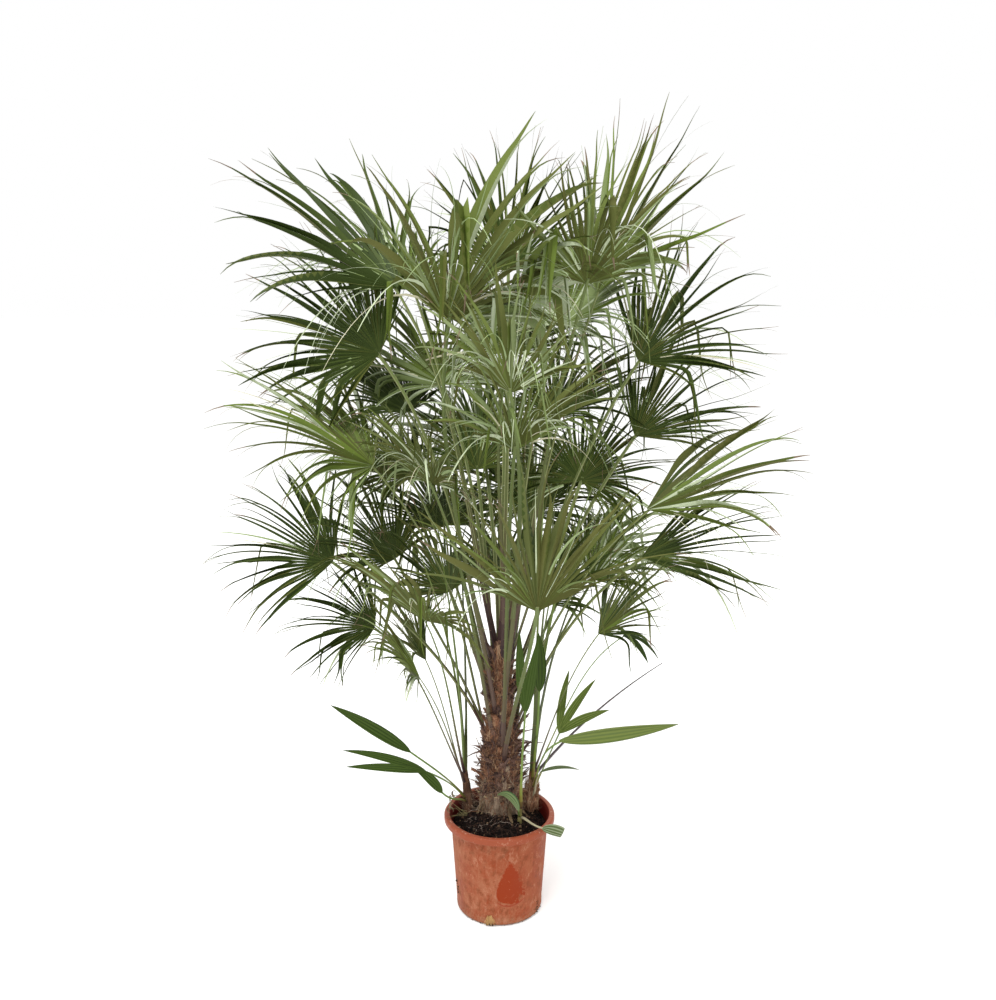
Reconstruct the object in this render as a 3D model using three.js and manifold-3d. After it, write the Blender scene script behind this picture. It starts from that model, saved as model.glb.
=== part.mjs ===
// A European fan palm of several stems in a plain round nursery pot, at its real size in millimetres.
// +Z is up, the origin is the centre of the pot's flat underside, the front is -Y and the right is +X.
// The trunk and three suckers stand in the soil, and each frond is a stalk with a pleated fan blade
// that is cut to the rib between its leaflets.

import * as THREE from 'three';
import { mergeVertices } from 'three/addons/utils/BufferGeometryUtils.js';
import Module from 'manifold-3d';

const wasm = await Module();
wasm.setup();

const UP = new THREE.Vector3(0, 0, 1);
const DOWN = new THREE.Vector3(0, 0, -1);
const CLEARANCE = 0.3;
const SLIVER = 0.08;
const GRID = 0.01;
const CROSSING = 1e-4;

// Pot: a tapered body with a downturned lip, and drain holes near the edge of its floor.
const POT_HEIGHT = 233;
const POT_FOOT_RADIUS = 98;
const POT_BODY_RADIUS = 111;
const POT_RIM_RADIUS = 125.5;
const POT_MOUTH_RADIUS = 114;
const POT_LIP_HEIGHT = 16;
const POT_LIP_THICKNESS = 3.5;
const POT_MOUTH_BEVEL = 6;
const POT_WALL = 3;
const POT_FLOOR = 4;
const POT_EDGE = [3, 4];
const POT_SIDES = 32;
const DRAIN_HOLES = 8;
const DRAIN_RADIUS = 7;
const DRAIN_CIRCLE = 76;
const DRAIN_SIDES = 6;

// Soil: level at the pot's wall and heaped against the trunk.
const SOIL_EDGE = 203;
const SOIL_CROWN = 228;
const SOIL_RINGS = 4;
const SOIL_HEAP_POWER = 1.6;
const SOIL_WALL_GAP = 0.7;
const SOIL_FOOT_INSET = 1;

// Stems: where each one stands, where its tip is, its radius at heights up from its foot, the
// heights of the feet of its lowest and highest stalks, which carry the lowest and highest hubs,
// and how straight and how thick its stalks are against the steep, thick ones of a grown trunk.
const STEMS = {
  trunk: {
    foot: [2, 36, 170], tip: [2, 12, 640], sides: 14,
    girth: [[170, 42], [215, 47], [300, 48], [370, 46], [430, 40], [490, 32], [560, 26], [640, 17]],
    feet: [310, 625], hubs: [650, 1450], straightness: 0.3, slimness: 1,
  },
  left: {
    foot: [-68, 46, 178], tip: [-80, 46, 312], sides: 8,
    girth: [[178, 12], [205, 15], [250, 12], [312, 7]],
    feet: [232, 306], hubs: [318, 748], straightness: 0.75, slimness: 0.55,
  },
  right: {
    foot: [72, 52, 178], tip: [77, 50, 312], sides: 8,
    girth: [[178, 12], [206, 17], [245, 15], [312, 8]],
    feet: [240, 306], hubs: [330, 694], straightness: 0.75, slimness: 0.55,
  },
  front: {
    foot: [45, -24, 190], tip: [49, -26, 262], sides: 6,
    girth: [[190, 6], [222, 8], [262, 4]],
    feet: [234, 256], hubs: [246, 490], straightness: 0.75, slimness: 0.55,
  },
};

// Old leaf bases that stand out of the trunk in a spiral, shorter towards its top. A section is
// its place along the base and its size, and the profile is the outline of each section.
const BOOTS = 34;
const BOOT_HEIGHTS = [250, 545];
const BOOT_WIDTH = 24;
const BOOT_DEPTH = 11;
const BOOT_LENGTH = 46;
const BOOT_LENGTHS = [0.8, 1.3];
const BOOT_SHORTENING = 0.3;
const BOOT_SPLAY = 0.42;
const BOOT_SUNK = 6;
const BOOT_SECTIONS = [[-0.35, 0.9], [0.3, 1], [1, 0.5]];
const BOOT_PROFILE = [[-1, -1], [1, -1], [0.7, 1], [-0.7, 1]];
const BOOT_FIRST_HEADING = 52;
const GOLDEN_ANGLE = 137.508;

// Fronds. Each row: stem, hub x, y, z, reach from hub to longest tip, heading and lift of the
// blade's middle in degrees (0 is right, 90 is back, 180 is left, 270 is front), turn of its upper
// side about that middle, spread of the fan, and how far the leaflets bend down.
const FRONDS = [
  ['trunk', -98, -200, 1361, 400, 325, 54, -30, 150, 1.1],
  ['trunk', 167, -120, 1424, 310, 310, 62, -10, 165, 0.5],
  ['trunk', 205, 60, 1400, 415, 16, 64, 20, 100, 0.3],
  ['trunk', -212, 50, 1410, 430, 174, 38, -30, 130, 0.45],
  ['trunk', -252, 40, 1275, 335, 186, 34, -60, 170, 0.5],
  ['trunk', -190, 205, 1400, 270, 130, 45, 6, 200, 0.5],
  ['trunk', 19, 150, 1440, 310, 85, 72, 0, 160, 0.3],
  ['trunk', 32, -60, 1352, 330, 330, 46, 0, 210, 1.2],
  ['trunk', 21, -295, 1237, 255, 234, 62, 0, 145, 0.5],
  ['trunk', 28, -215, 1116, 270, 288, 60, 0, 130, 0.7],
  ['trunk', 293, 50, 1258, 335, 358, 45, 50, 135, 0.5],
  ['trunk', 299, 110, 1086, 300, 12, 46, 50, 120, 0.5],
  ['trunk', 183, 115, 984, 245, 55, 50, 25, 250, 0.5],
  ['trunk', 73, 190, 895, 225, 78, 55, 0, 240, 0.5],
  ['trunk', 307, -50, 958, 375, 350, 24, 25, 100, 0.5],
  ['trunk', 303, -30, 850, 330, 356, 12, 40, 85, 0.4],
  ['trunk', 71, -300, 821, 355, 275, 62, 0, 125, 0.4],
  ['right', 209, -80, 694, 235, 350, 46, 25, 115, 0.3],
  ['trunk', -258, -60, 1054, 360, 190, 34, -22, 160, 0.9],
  ['trunk', -360, 0, 829, 290, 180, 28, -45, 145, 0.5],
  ['trunk', -234, 90, 809, 275, 158, 48, -15, 175, 0.5],
  ['left', -277, 40, 666, 225, 182, 18, -45, 150, 0.5],
  ['left', -150, -150, 748, 255, 225, 48, 0, 170, 0.5],
  ['left', -169, -100, 604, 205, 205, 48, -15, 130, 1.2],
  ['left', -165, 40, 586, 200, 170, 58, 0, 110, 0.4],
  ['trunk', -137, -120, 1029, 230, 222, 50, 0, 190, 0.9],
  ['trunk', -200, 130, 1138, 265, 160, 42, -10, 190, 0.6],
  ['trunk', -110, 60, 742, 235, 150, 58, -10, 170, 0.6],
  ['trunk', 96, 65, 715, 225, 40, 60, 10, 170, 0.6],
  ['trunk', 206, 40, 776, 240, 20, 50, 20, 150, 0.5],
  ['trunk', -50, 160, 1000, 250, 110, 60, 0, 180, 0.5],
];

// Young leaves at the foot of the plant. The same row, with the number of leaflets last.
const YOUNG_LEAVES = [
  ['left', -197, -40, 400, 205, 180, 36, -60, 22, 0.2, 1],
  ['left', -161, -70, 369, 190, 184, 17, -50, 30, 0.2, 2],
  ['left', -126, -80, 322, 80, 160, 50, -40, 30, 0.6, 1],
  ['right', 272, 0, 659, 95, 350, 10, 0, 110, 2.0, 4],
  ['right', 132, -40, 446, 150, 20, 55, 20, 90, 0.2, 3],
  ['right', 128, -110, 462, 265, 348, 12, 60, 15, 0.1, 1],
  ['right', 88, -40, 545, 140, 95, 84, 0, 28, 0.2, 1],
  ['right', 92, 0, 330, 100, 352, 24, 20, 26, 0.8, 1],
  ['front', 56, -90, 515, 185, 270, 86, 0, 34, 0.2, 2],
  ['front', 44, -52, 262, 70, 160, 60, 0, 36, 1.5, 1],
  ['front', 94, -96, 246, 52, 330, 2, 20, 44, 0.4, 1],
];

// Fronds behind the plant, which fill its far side by one rule.
const BACK_FRONDS = 10;
const BACK_HEADINGS = [32, 148];
const BACK_HEADING_STEP = 0.618;
const BACK_PHASE = 0.5;
const BACK_CENTRE_Y = 24;
const BACK_HEIGHTS = [700, 1330];
const BACK_DISTANCES = [300, 180];
const BACK_LIFTS = [22, 48];
const BACK_REACH = 295;
const BACK_SPREAD = 215;
const BACK_BEND = 0.6;

// Blade: the fused palm ends at a share of the reach, and leaflets narrow from there to their tips.
const PALM_SHARE = 0.31;
const PALM_CUP = 0.12;
const LEAFLET_PITCH = 16;
const LEAFLET_DEPTH = 4.6;
const HUB_DEPTH = 6;
const HUB_ABOVE = 0.4;
const LEAFLET_STATIONS = [0.42, 0.76];
const LEAFLET_WIDTHS = [0.7, 0.4];
const LEAFLET_DEPTHS = [4.4, 3.6];
const SPINE_STEPS = 12;

// Leaflets differ: the outer ones are shorter, each has its own length, bend and swing, and the
// upright ones bend less. The draws keep the counters of those three chances apart.
const OUTER_SHORTENING = 0.2;
const LENGTH_VARIETY = 0.12;
const BEND_VARIETY = 0.8;
const SWING_VARIETY = 0.3;
const UPRIGHT_STIFFNESS = 0.65;
const BEND_DRAW = 40;
const SWING_DRAW = 80;

// Stalk: three-sided, thicker at its foot, which starts inside the stem and leaves it steeply.
const STALK_FOOT = 7;
const STALK_NECK = 5;
const STALK_STEPS = 6;
const STALK_CORNERS = [90, 210, 330];
const STALK_INSET = 0.5;
const STALK_LEAN = 0.25;
const STALK_FOOT_PULL = 0.36;
const STALK_NECK_PULL = 0.3;
const STALK_INTO_PALM = 0.12;

// Leaflets that would touch something are first bent or swung aside, then shortened. Each trial
// is a factor on the bend, an added swing and a factor on the length. A stalk is bowed sideways.
const TRIALS = [
  [1, 0, 1], [1.5, 0, 1], [0.5, 0, 1], [1, 0.25, 1], [1, -0.25, 1], [1.9, 0.2, 1], [0.2, -0.2, 1],
  [1, 0, 0.8], [1.6, 0.2, 0.8], [0.4, -0.2, 0.8], [1, 0, 0.6], [1.8, -0.2, 0.6], [0.2, 0.2, 0.6],
  [1, 0, 0.4], [2, 0, 0.4],
];
const STALK_BOWS = [0, 14, -14, 28, -28, 42, -42, 60, -60, 80, -80];

// A repeatable number from 0 to 1 for each pair of counters.
function chance(row, column) {
  const wave = Math.sin(row * 127.1 + column * 311.7) * 4375.85;
  return wave - Math.floor(wave);
}

function point(values) {
  return new THREE.Vector3(...values);
}

// Solids: a closed three.js geometry becomes a solid for cutting and joining, and back. Corners
// sit on a fine grid, and a face whose corners fall together is dropped.
function solidOf(geometry) {
  const bare = geometry.clone();
  bare.deleteAttribute('normal');
  bare.deleteAttribute('uv');
  const corners = bare.attributes.position;
  corners.array.forEach((value, i) => {
    corners.array[i] = Math.round(value / GRID) * GRID;
  });
  const merged = mergeVertices(bare, GRID / 10);
  const faces = [];
  for (let i = 0; i < merged.index.count; i += 3) {
    const face = [0, 1, 2].map((corner) => merged.index.getX(i + corner));
    if (new Set(face).size === 3) faces.push(...face);
  }
  return new wasm.Manifold(new wasm.Mesh({
    numProp: 3,
    vertProperties: new Float32Array(merged.attributes.position.array),
    triVerts: new Uint32Array(faces),
  }));
}

function geometryOf(solid) {
  const mesh = solid.getMesh();
  const geometry = new THREE.BufferGeometry();
  geometry.setAttribute('position', new THREE.BufferAttribute(new Float32Array(mesh.vertProperties), 3));
  geometry.setIndex(new THREE.BufferAttribute(new Uint32Array(mesh.triVerts), 1));
  return geometry;
}

function geometryFrom(points, faces) {
  const geometry = new THREE.BufferGeometry();
  geometry.setAttribute('position', new THREE.Float32BufferAttribute(points.flatMap((p) => p.toArray()), 3));
  geometry.setIndex(faces.flat());
  return geometry;
}

// The largest body of a solid, with slivers and near-double corners taken out.
function largestBody(solid) {
  const clean = solidOf(geometryOf(solid.simplify(SLIVER)));
  const bodies = clean.decompose();
  return bodies.reduce((best, body) => (body.volume() > best.volume() ? body : best));
}

// A closed skin over rings of equal count, each ring listed anticlockwise seen from its end.
function loft(rings) {
  const count = rings[0].length;
  const points = rings.flat();
  const faces = [];
  for (let row = 0; row < rings.length - 1; row += 1) {
    for (let i = 0; i < count; i += 1) {
      const next = (i + 1) % count;
      const low = row * count;
      const high = low + count;
      faces.push([low + i, low + next, high + next], [low + i, high + next, high + i]);
    }
  }
  const last = (rings.length - 1) * count;
  for (let i = 1; i < count - 1; i += 1) {
    faces.push([0, i + 1, i], [last, last + i, last + i + 1]);
  }
  return geometryFrom(points, faces);
}

// Radius of a stem at a height, between the listed ones.
function girthAt(stem, height) {
  const rows = stem.girth;
  const upper = Math.max(1, rows.findIndex(([z]) => z >= height));
  const index = height > rows.at(-1)[0] ? rows.length - 1 : upper;
  const [z0, r0] = rows[index - 1];
  const [z1, r1] = rows[index];
  return THREE.MathUtils.lerp(r0, r1, THREE.MathUtils.clamp((height - z0) / (z1 - z0), 0, 1));
}

function axisAt(stem, height) {
  const foot = point(stem.foot);
  const tip = point(stem.tip);
  return foot.lerp(tip, (height - stem.foot[2]) / (stem.tip[2] - stem.foot[2]));
}

function ringAt(stem, height, radius) {
  const centre = axisAt(stem, height);
  return Array.from({ length: stem.sides }, (_, i) => {
    const angle = (2 * Math.PI * i) / stem.sides;
    return new THREE.Vector3(
      centre.x + radius * Math.cos(angle), centre.y + radius * Math.sin(angle), height,
    );
  });
}

// One old leaf base: a blunt boot that rises steeply out of the trunk.
function bootSolid(index) {
  const stem = STEMS.trunk;
  const share = index / (BOOTS - 1);
  const height = THREE.MathUtils.lerp(...BOOT_HEIGHTS, share);
  const angle = THREE.MathUtils.degToRad(index * GOLDEN_ANGLE + BOOT_FIRST_HEADING);
  const outward = new THREE.Vector3(Math.cos(angle), Math.sin(angle), 0);
  const across = new THREE.Vector3().crossVectors(UP, outward);
  const length = BOOT_LENGTH * (1 - BOOT_SHORTENING * share)
    * THREE.MathUtils.lerp(...BOOT_LENGTHS, chance(index, 1));
  const rise = outward.clone().multiplyScalar(BOOT_SPLAY).add(UP).normalize();
  const depthway = new THREE.Vector3().crossVectors(across, rise);
  const start = axisAt(stem, height).addScaledVector(outward, girthAt(stem, height) - BOOT_SUNK);
  const rings = BOOT_SECTIONS.map(([along, size]) => {
    const centre = start.clone().addScaledVector(rise, along * length);
    const half = (BOOT_WIDTH / 2) * size;
    const deep = (BOOT_DEPTH / 2) * size;
    return BOOT_PROFILE.map(([x, y]) => (
      centre.clone().addScaledVector(across, x * half).addScaledVector(depthway, y * deep)
    ));
  });
  return solidOf(loft(rings));
}

// A stem with all its radii grown by the given amount, for clearance cuts as well as for itself.
function stemSolid(name, growth) {
  const stem = STEMS[name];
  return solidOf(loft(stem.girth.map(([height, radius]) => ringAt(stem, height, radius + growth))));
}

// Pot: one closed profile turned about the axis, then bored with drain holes.
function potSolid() {
  const lipUnder = POT_HEIGHT - POT_LIP_HEIGHT;
  const shelf = POT_HEIGHT - POT_LIP_THICKNESS;
  const [edgeIn, edgeUp] = POT_EDGE;
  const profile = [
    [0, 0], [POT_FOOT_RADIUS - edgeIn, 0], [POT_FOOT_RADIUS, edgeUp], [POT_BODY_RADIUS, shelf],
    [POT_RIM_RADIUS - POT_WALL, shelf], [POT_RIM_RADIUS - POT_WALL, lipUnder],
    [POT_RIM_RADIUS, lipUnder], [POT_RIM_RADIUS, POT_HEIGHT - edgeUp],
    [POT_RIM_RADIUS - edgeIn, POT_HEIGHT], [POT_MOUTH_RADIUS, POT_HEIGHT],
    [POT_BODY_RADIUS - POT_WALL, shelf - POT_MOUTH_BEVEL],
    [POT_FOOT_RADIUS - POT_WALL, POT_FLOOR], [0, POT_FLOOR],
  ];
  const turned = new THREE.LatheGeometry(profile.map(([r, z]) => new THREE.Vector2(r, z)), POT_SIDES);
  turned.rotateX(Math.PI / 2);
  const holes = Array.from({ length: DRAIN_HOLES }, (_, index) => {
    const angle = (2 * Math.PI * (index + 0.5)) / DRAIN_HOLES;
    const drill = new THREE.CylinderGeometry(DRAIN_RADIUS, DRAIN_RADIUS, 4 * POT_FLOOR, DRAIN_SIDES);
    drill.rotateX(Math.PI / 2);
    drill.translate(DRAIN_CIRCLE * Math.cos(angle), DRAIN_CIRCLE * Math.sin(angle), 0);
    return solidOf(drill);
  });
  return solidOf(turned).subtract(wasm.Manifold.union(holes));
}

// Soil: fills the pot clear of its walls, heaped towards the trunk, with a socket for each stem.
function soilSolid() {
  const inside = (height) => {
    const share = (height - POT_FLOOR) / (POT_HEIGHT - POT_FLOOR);
    const wall = THREE.MathUtils.lerp(POT_FOOT_RADIUS, POT_BODY_RADIUS, share) - POT_WALL;
    return wall - SOIL_WALL_GAP;
  };
  const edge = inside(SOIL_EDGE);
  const bottom = POT_FLOOR + CLEARANCE;
  const profile = [[0, bottom], [inside(POT_FLOOR) - SOIL_FOOT_INSET, bottom]];
  for (let ring = 0; ring <= SOIL_RINGS; ring += 1) {
    const share = ring / SOIL_RINGS;
    const rise = Math.sin((share * Math.PI) / 2) ** SOIL_HEAP_POWER;
    const height = THREE.MathUtils.lerp(SOIL_EDGE, SOIL_CROWN, rise);
    profile.push([edge * (1 - share), height]);
  }
  const heap = new THREE.LatheGeometry(profile.map(([r, z]) => new THREE.Vector2(r, z)), POT_SIDES);
  heap.rotateX(Math.PI / 2);
  let solid = solidOf(heap);
  for (const name of Object.keys(STEMS)) {
    solid = solid.subtract(stemSolid(name, CLEARANCE));
  }
  return largestBody(solid);
}

// Fan: its own directions, with the upper side facing up and back to the plant's axis.
function fanOf(row, index) {
  const [stem, x, y, z, reach, heading, lift, turn, spread, bend, leaflets] = row;
  const azimuth = THREE.MathUtils.degToRad(heading);
  const rise = THREE.MathUtils.degToRad(lift);
  const middle = new THREE.Vector3(
    Math.cos(azimuth) * Math.cos(rise), Math.sin(azimuth) * Math.cos(rise), Math.sin(rise),
  );
  const face = UP.clone().addScaledVector(middle, -middle.z).normalize();
  face.applyAxisAngle(middle, THREE.MathUtils.degToRad(turn));
  const count = leaflets ?? Math.round(spread / LEAFLET_PITCH);
  return {
    index, stem, reach, bend, middle, face, count,
    hub: new THREE.Vector3(x, y, z),
    side: new THREE.Vector3().crossVectors(face, middle),
    pitch: THREE.MathUtils.degToRad(spread) / count,
    palm: PALM_SHARE * reach,
  };
}

function rayAt(fan, angle) {
  return fan.middle.clone().multiplyScalar(Math.cos(angle))
    .addScaledVector(fan.side, Math.sin(angle))
    .addScaledVector(fan.face, PALM_CUP)
    .normalize();
}

// The valley between two leaflets, where the fused palm ends.
function valley(fan, edge) {
  const angle = (edge - fan.count / 2) * fan.pitch;
  return fan.hub.clone().addScaledVector(rayAt(fan, angle), fan.palm);
}

// The keel under a leaflet at the end of the fused palm.
function keel(fan, leaf) {
  const angle = (leaf + 0.5 - fan.count / 2) * fan.pitch;
  return fan.hub.clone()
    .addScaledVector(rayAt(fan, angle), fan.palm)
    .addScaledVector(fan.face, -LEAFLET_DEPTH);
}

// A factor about 1 that differs by as much as the variety says.
function vary(variety, row, column) {
  return 1 + variety * (chance(row, column) - 0.5);
}

// A leaflet's free part: its line leaves the palm straight and bends down more and more, and its
// three-cornered section narrows to the tip.
function freeLeaflet(fan, leaf, [bendTrial, swingTrial, share]) {
  const angle = (leaf + 0.5 - fan.count / 2) * fan.pitch;
  const ray = rayAt(fan, angle);
  const across = fan.side.clone().multiplyScalar(Math.cos(angle))
    .addScaledVector(fan.middle, -Math.sin(angle));
  const edge = Math.abs(angle) / (fan.pitch * fan.count / 2);
  const reach = fan.reach * (1 - OUTER_SHORTENING * edge ** 2) * vary(LENGTH_VARIETY, fan.index, leaf);
  const length = (reach - fan.palm) * share;
  const yielding = 1 - UPRIGHT_STIFFNESS * Math.max(0, ray.z);
  const bend = fan.bend * yielding * vary(BEND_VARIETY, fan.index, leaf + BEND_DRAW) * bendTrial;
  const swing = SWING_VARIETY * (chance(fan.index, leaf + SWING_DRAW) - 0.5) + swingTrial;
  const half = fan.palm * Math.sin(fan.pitch / 2);
  const spine = fan.hub.clone().addScaledVector(ray, fan.palm);
  const heading = new THREE.Vector3();
  const sections = [];
  for (let step = 1; step <= SPINE_STEPS; step += 1) {
    const along = (step - 0.5) / SPINE_STEPS;
    heading.copy(ray).addScaledVector(DOWN, bend * along).addScaledVector(across, swing * along).normalize();
    spine.addScaledVector(heading, length / SPINE_STEPS);
    const station = LEAFLET_STATIONS.findIndex((at) => Math.round(at * SPINE_STEPS) === step);
    if (station >= 0) {
      const width = across.clone().addScaledVector(heading, -across.dot(heading)).normalize();
      const over = new THREE.Vector3().crossVectors(heading, width);
      sections.push([
        spine.clone().addScaledVector(width, -half * LEAFLET_WIDTHS[station]),
        spine.clone().addScaledVector(width, half * LEAFLET_WIDTHS[station]),
        spine.clone().addScaledVector(over, -LEAFLET_DEPTHS[station]),
      ]);
    }
  }
  return { sections, tip: spine.clone() };
}

// Faces of a leaflet's free part on numbered points: near corner, far corner and keel of each
// section, and the tip.
function leafletFaces(sections, tip) {
  const faces = [];
  for (let i = 0; i < sections.length - 1; i += 1) {
    const [near, far, low] = sections[i];
    const [nearNext, farNext, lowNext] = sections[i + 1];
    faces.push([near, nearNext, farNext], [near, farNext, far]);
    faces.push([near, low, lowNext], [near, lowNext, nearNext]);
    faces.push([far, farNext, lowNext], [far, lowNext, low]);
  }
  const [near, far, low] = sections.at(-1);
  faces.push([near, tip, far], [near, low, tip], [far, tip, low]);
  return faces;
}

function leafletSolid(fan, leaf, shape) {
  const root = [valley(fan, leaf), valley(fan, leaf + 1), keel(fan, leaf)];
  const points = [...root, ...shape.sections.flat(), shape.tip];
  const numbers = Array.from({ length: shape.sections.length + 1 }, (_, i) => [3 * i, 3 * i + 1, 3 * i + 2]);
  return solidOf(geometryFrom(points, [[0, 1, 2], ...leafletFaces(numbers, points.length - 1)]));
}

// The whole blade as one closed skin: pleated palm from hub to valleys, then the free leaflets.
// A missing leaflet leaves its root closed.
function bladeSolid(fan, shapes) {
  const points = [];
  const add = (position) => points.push(position.clone()) - 1;
  const top = add(fan.hub.clone().addScaledVector(fan.face, HUB_DEPTH * HUB_ABOVE));
  const bottom = add(fan.hub.clone().addScaledVector(fan.face, HUB_DEPTH * (HUB_ABOVE - 1)));
  const valleys = Array.from({ length: fan.count + 1 }, (_, edge) => add(valley(fan, edge)));
  const faces = [[valleys[0], top, bottom], [top, valleys[fan.count], bottom]];
  for (let leaf = 0; leaf < fan.count; leaf += 1) {
    const near = valleys[leaf];
    const far = valleys[leaf + 1];
    const low = add(keel(fan, leaf));
    faces.push([top, near, far], [bottom, low, near], [bottom, far, low]);
    const shape = shapes[leaf];
    if (shape) {
      const sections = [[near, far, low], ...shape.sections.map((section) => section.map(add))];
      faces.push(...leafletFaces(sections, add(shape.tip)));
    } else {
      faces.push([near, low, far]);
    }
  }
  return solidOf(geometryFrom(points, faces));
}

// Where a frond's stalk leaves its stem: lower and outer hubs hang on lower, older leaf bases.
function footHeight(fan) {
  const stem = STEMS[fan.stem];
  const [lowest, highest] = stem.feet;
  const [lowHub, highHub] = stem.hubs;
  const share = THREE.MathUtils.clamp((fan.hub.z - lowHub) / (highHub - lowHub), 0, 1);
  return THREE.MathUtils.lerp(lowest, highest, share);
}

// Stalk: one smooth curve from inside the stem, steeply up at first, into the blade's hub.
function stalkSolid(fan, bow) {
  const stem = STEMS[fan.stem];
  const height = footHeight(fan);
  const axis = axisAt(stem, height);
  const outward = new THREE.Vector3(fan.hub.x - axis.x, fan.hub.y - axis.y, 0).normalize();
  const foot = axis.clone().addScaledVector(outward, girthAt(stem, height) * STALK_INSET);
  const run = fan.hub.distanceTo(foot);
  const chord = fan.hub.clone().sub(foot).normalize();
  const arrival = chord.clone().add(fan.middle).normalize();
  const sideways = new THREE.Vector3().crossVectors(chord, outward).normalize();
  const start = outward.clone().multiplyScalar(STALK_LEAN).add(UP).normalize();
  start.lerp(chord, stem.straightness).normalize();
  const curve = new THREE.CubicBezierCurve3(
    foot,
    foot.clone().addScaledVector(start, run * STALK_FOOT_PULL).addScaledVector(sideways, bow),
    fan.hub.clone().addScaledVector(arrival, -run * STALK_NECK_PULL).addScaledVector(sideways, bow),
    fan.hub.clone().addScaledVector(fan.middle, fan.palm * STALK_INTO_PALM),
  );
  const rings = [];
  for (let step = 0; step <= STALK_STEPS; step += 1) {
    const along = step / STALK_STEPS;
    const centre = curve.getPoint(along);
    const heading = curve.getTangent(along);
    const radius = THREE.MathUtils.lerp(STALK_FOOT, STALK_NECK, along) * stem.slimness;
    const over = fan.face.clone().lerp(outward.clone().negate(), 1 - along);
    over.addScaledVector(heading, -over.dot(heading)).normalize();
    const across = new THREE.Vector3().crossVectors(heading, over);
    rings.push(STALK_CORNERS.map((degrees) => {
      const angle = THREE.MathUtils.degToRad(degrees);
      return centre.clone()
        .addScaledVector(across, -radius * Math.cos(angle))
        .addScaledVector(over, -radius * Math.sin(angle));
    }).reverse());
  }
  return largestBody(solidOf(loft(rings)).subtract(cutters[fan.stem]));
}

// Keeps what is already placed, each piece with the number of the frond that it belongs to.
const placed = [];

function touches(solid, owner, carrier) {
  const box = solid.boundingBox();
  return placed.some((other) => {
    if (other.owner === owner || other.owner === carrier) return false;
    for (let axis = 0; axis < 3; axis += 1) {
      if (box.min[axis] - CLEARANCE > other.box.max[axis]) return false;
      if (box.max[axis] + CLEARANCE < other.box.min[axis]) return false;
    }
    return solid.minGap(other.solid, 2 * CLEARANCE) < 1.5 * CLEARANCE;
  });
}

function place(solid, owner) {
  placed.push({ solid, owner, box: solid.boundingBox() });
}

const cutters = Object.fromEntries(Object.keys(STEMS).map((name) => [name, stemSolid(name, CLEARANCE)]));
const stems = Object.fromEntries(Object.keys(STEMS).map((name) => [name, stemSolid(name, 0)]));
const pot = potSolid();
const soil = soilSolid();

function backRows() {
  return Array.from({ length: BACK_FRONDS }, (_, index) => {
    const rank = index / (BACK_FRONDS - 1);
    const heading = THREE.MathUtils.lerp(...BACK_HEADINGS, (index * BACK_HEADING_STEP + BACK_PHASE) % 1);
    const distance = THREE.MathUtils.lerp(...BACK_DISTANCES, rank);
    const height = THREE.MathUtils.lerp(...BACK_HEIGHTS, rank);
    const azimuth = THREE.MathUtils.degToRad(heading);
    const x = distance * Math.cos(azimuth);
    const y = BACK_CENTRE_Y + distance * Math.sin(azimuth);
    const lift = THREE.MathUtils.lerp(...BACK_LIFTS, rank);
    return ['trunk', x, y, height, BACK_REACH, heading, lift, 0, BACK_SPREAD, BACK_BEND];
  });
}

const fans = [...FRONDS, ...backRows(), ...YOUNG_LEAVES].map(fanOf);

for (const name of Object.keys(stems)) place(stems[name], name);
place(pot, 'pot');
place(soil, 'soil');

// The palms of the blades first, then the stalks, bowed aside where they must be, then the
// leaflets one by one.
for (const fan of fans) {
  fan.palmSolid = bladeSolid(fan, []);
  place(fan.palmSolid, fan.index);
}
for (const fan of fans) {
  const bow = STALK_BOWS.find((trial) => !touches(stalkSolid(fan, trial), fan.index, fan.stem)) ?? 0;
  fan.stalk = stalkSolid(fan, bow);
  place(fan.stalk, fan.index);
}
// An old leaf base is left out where a live stalk stands.
const boots = Array.from({ length: BOOTS }, (_, index) => bootSolid(index))
  .filter((solid) => !touches(solid, 'trunk'));
stems.trunk = largestBody(wasm.Manifold.union([stems.trunk, ...boots]));
boots.forEach((solid) => place(solid, 'trunk'));

for (const fan of fans) {
  fan.shapes = [];
  const own = [];
  const crosses = (solid) => {
    const joined = [fan.palmSolid, ...own.slice(-1)];
    const apart = [fan.stalk, ...own.slice(0, -1)];
    return joined.some((other) => solid.intersect(other).volume() > CROSSING)
      || apart.some((other) => solid.minGap(other, 2 * CLEARANCE) < CLEARANCE);
  };
  for (let leaf = 0; leaf < fan.count; leaf += 1) {
    for (const trial of TRIALS) {
      const shape = freeLeaflet(fan, leaf, trial);
      const solid = leafletSolid(fan, leaf, shape);
      if (!crosses(solid) && !touches(solid, fan.index)) {
        fan.shapes[leaf] = shape;
        own.push(solid);
        place(solid, fan.index);
        break;
      }
    }
  }
}

// Assembly.
const POT_FINISH = new THREE.MeshStandardMaterial({ color: 0xb45f41, roughness: 0.6, metalness: 0 });
const SOIL_FINISH = new THREE.MeshStandardMaterial({ color: 0x2b211b, roughness: 1, metalness: 0 });
const STEM_FINISH = new THREE.MeshStandardMaterial({ color: 0x6b4a33, roughness: 0.95, metalness: 0 });
const FROND_FINISH = new THREE.MeshStandardMaterial({ color: 0x4a6b32, roughness: 0.55, metalness: 0 });
const YOUNG_FINISH = new THREE.MeshStandardMaterial({ color: 0x6b9440, roughness: 0.5, metalness: 0 });

const group = new THREE.Group();

function addNode(name, solid, finish) {
  const mesh = new THREE.Mesh(geometryOf(solid), finish);
  mesh.name = name;
  group.add(mesh);
}

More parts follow.
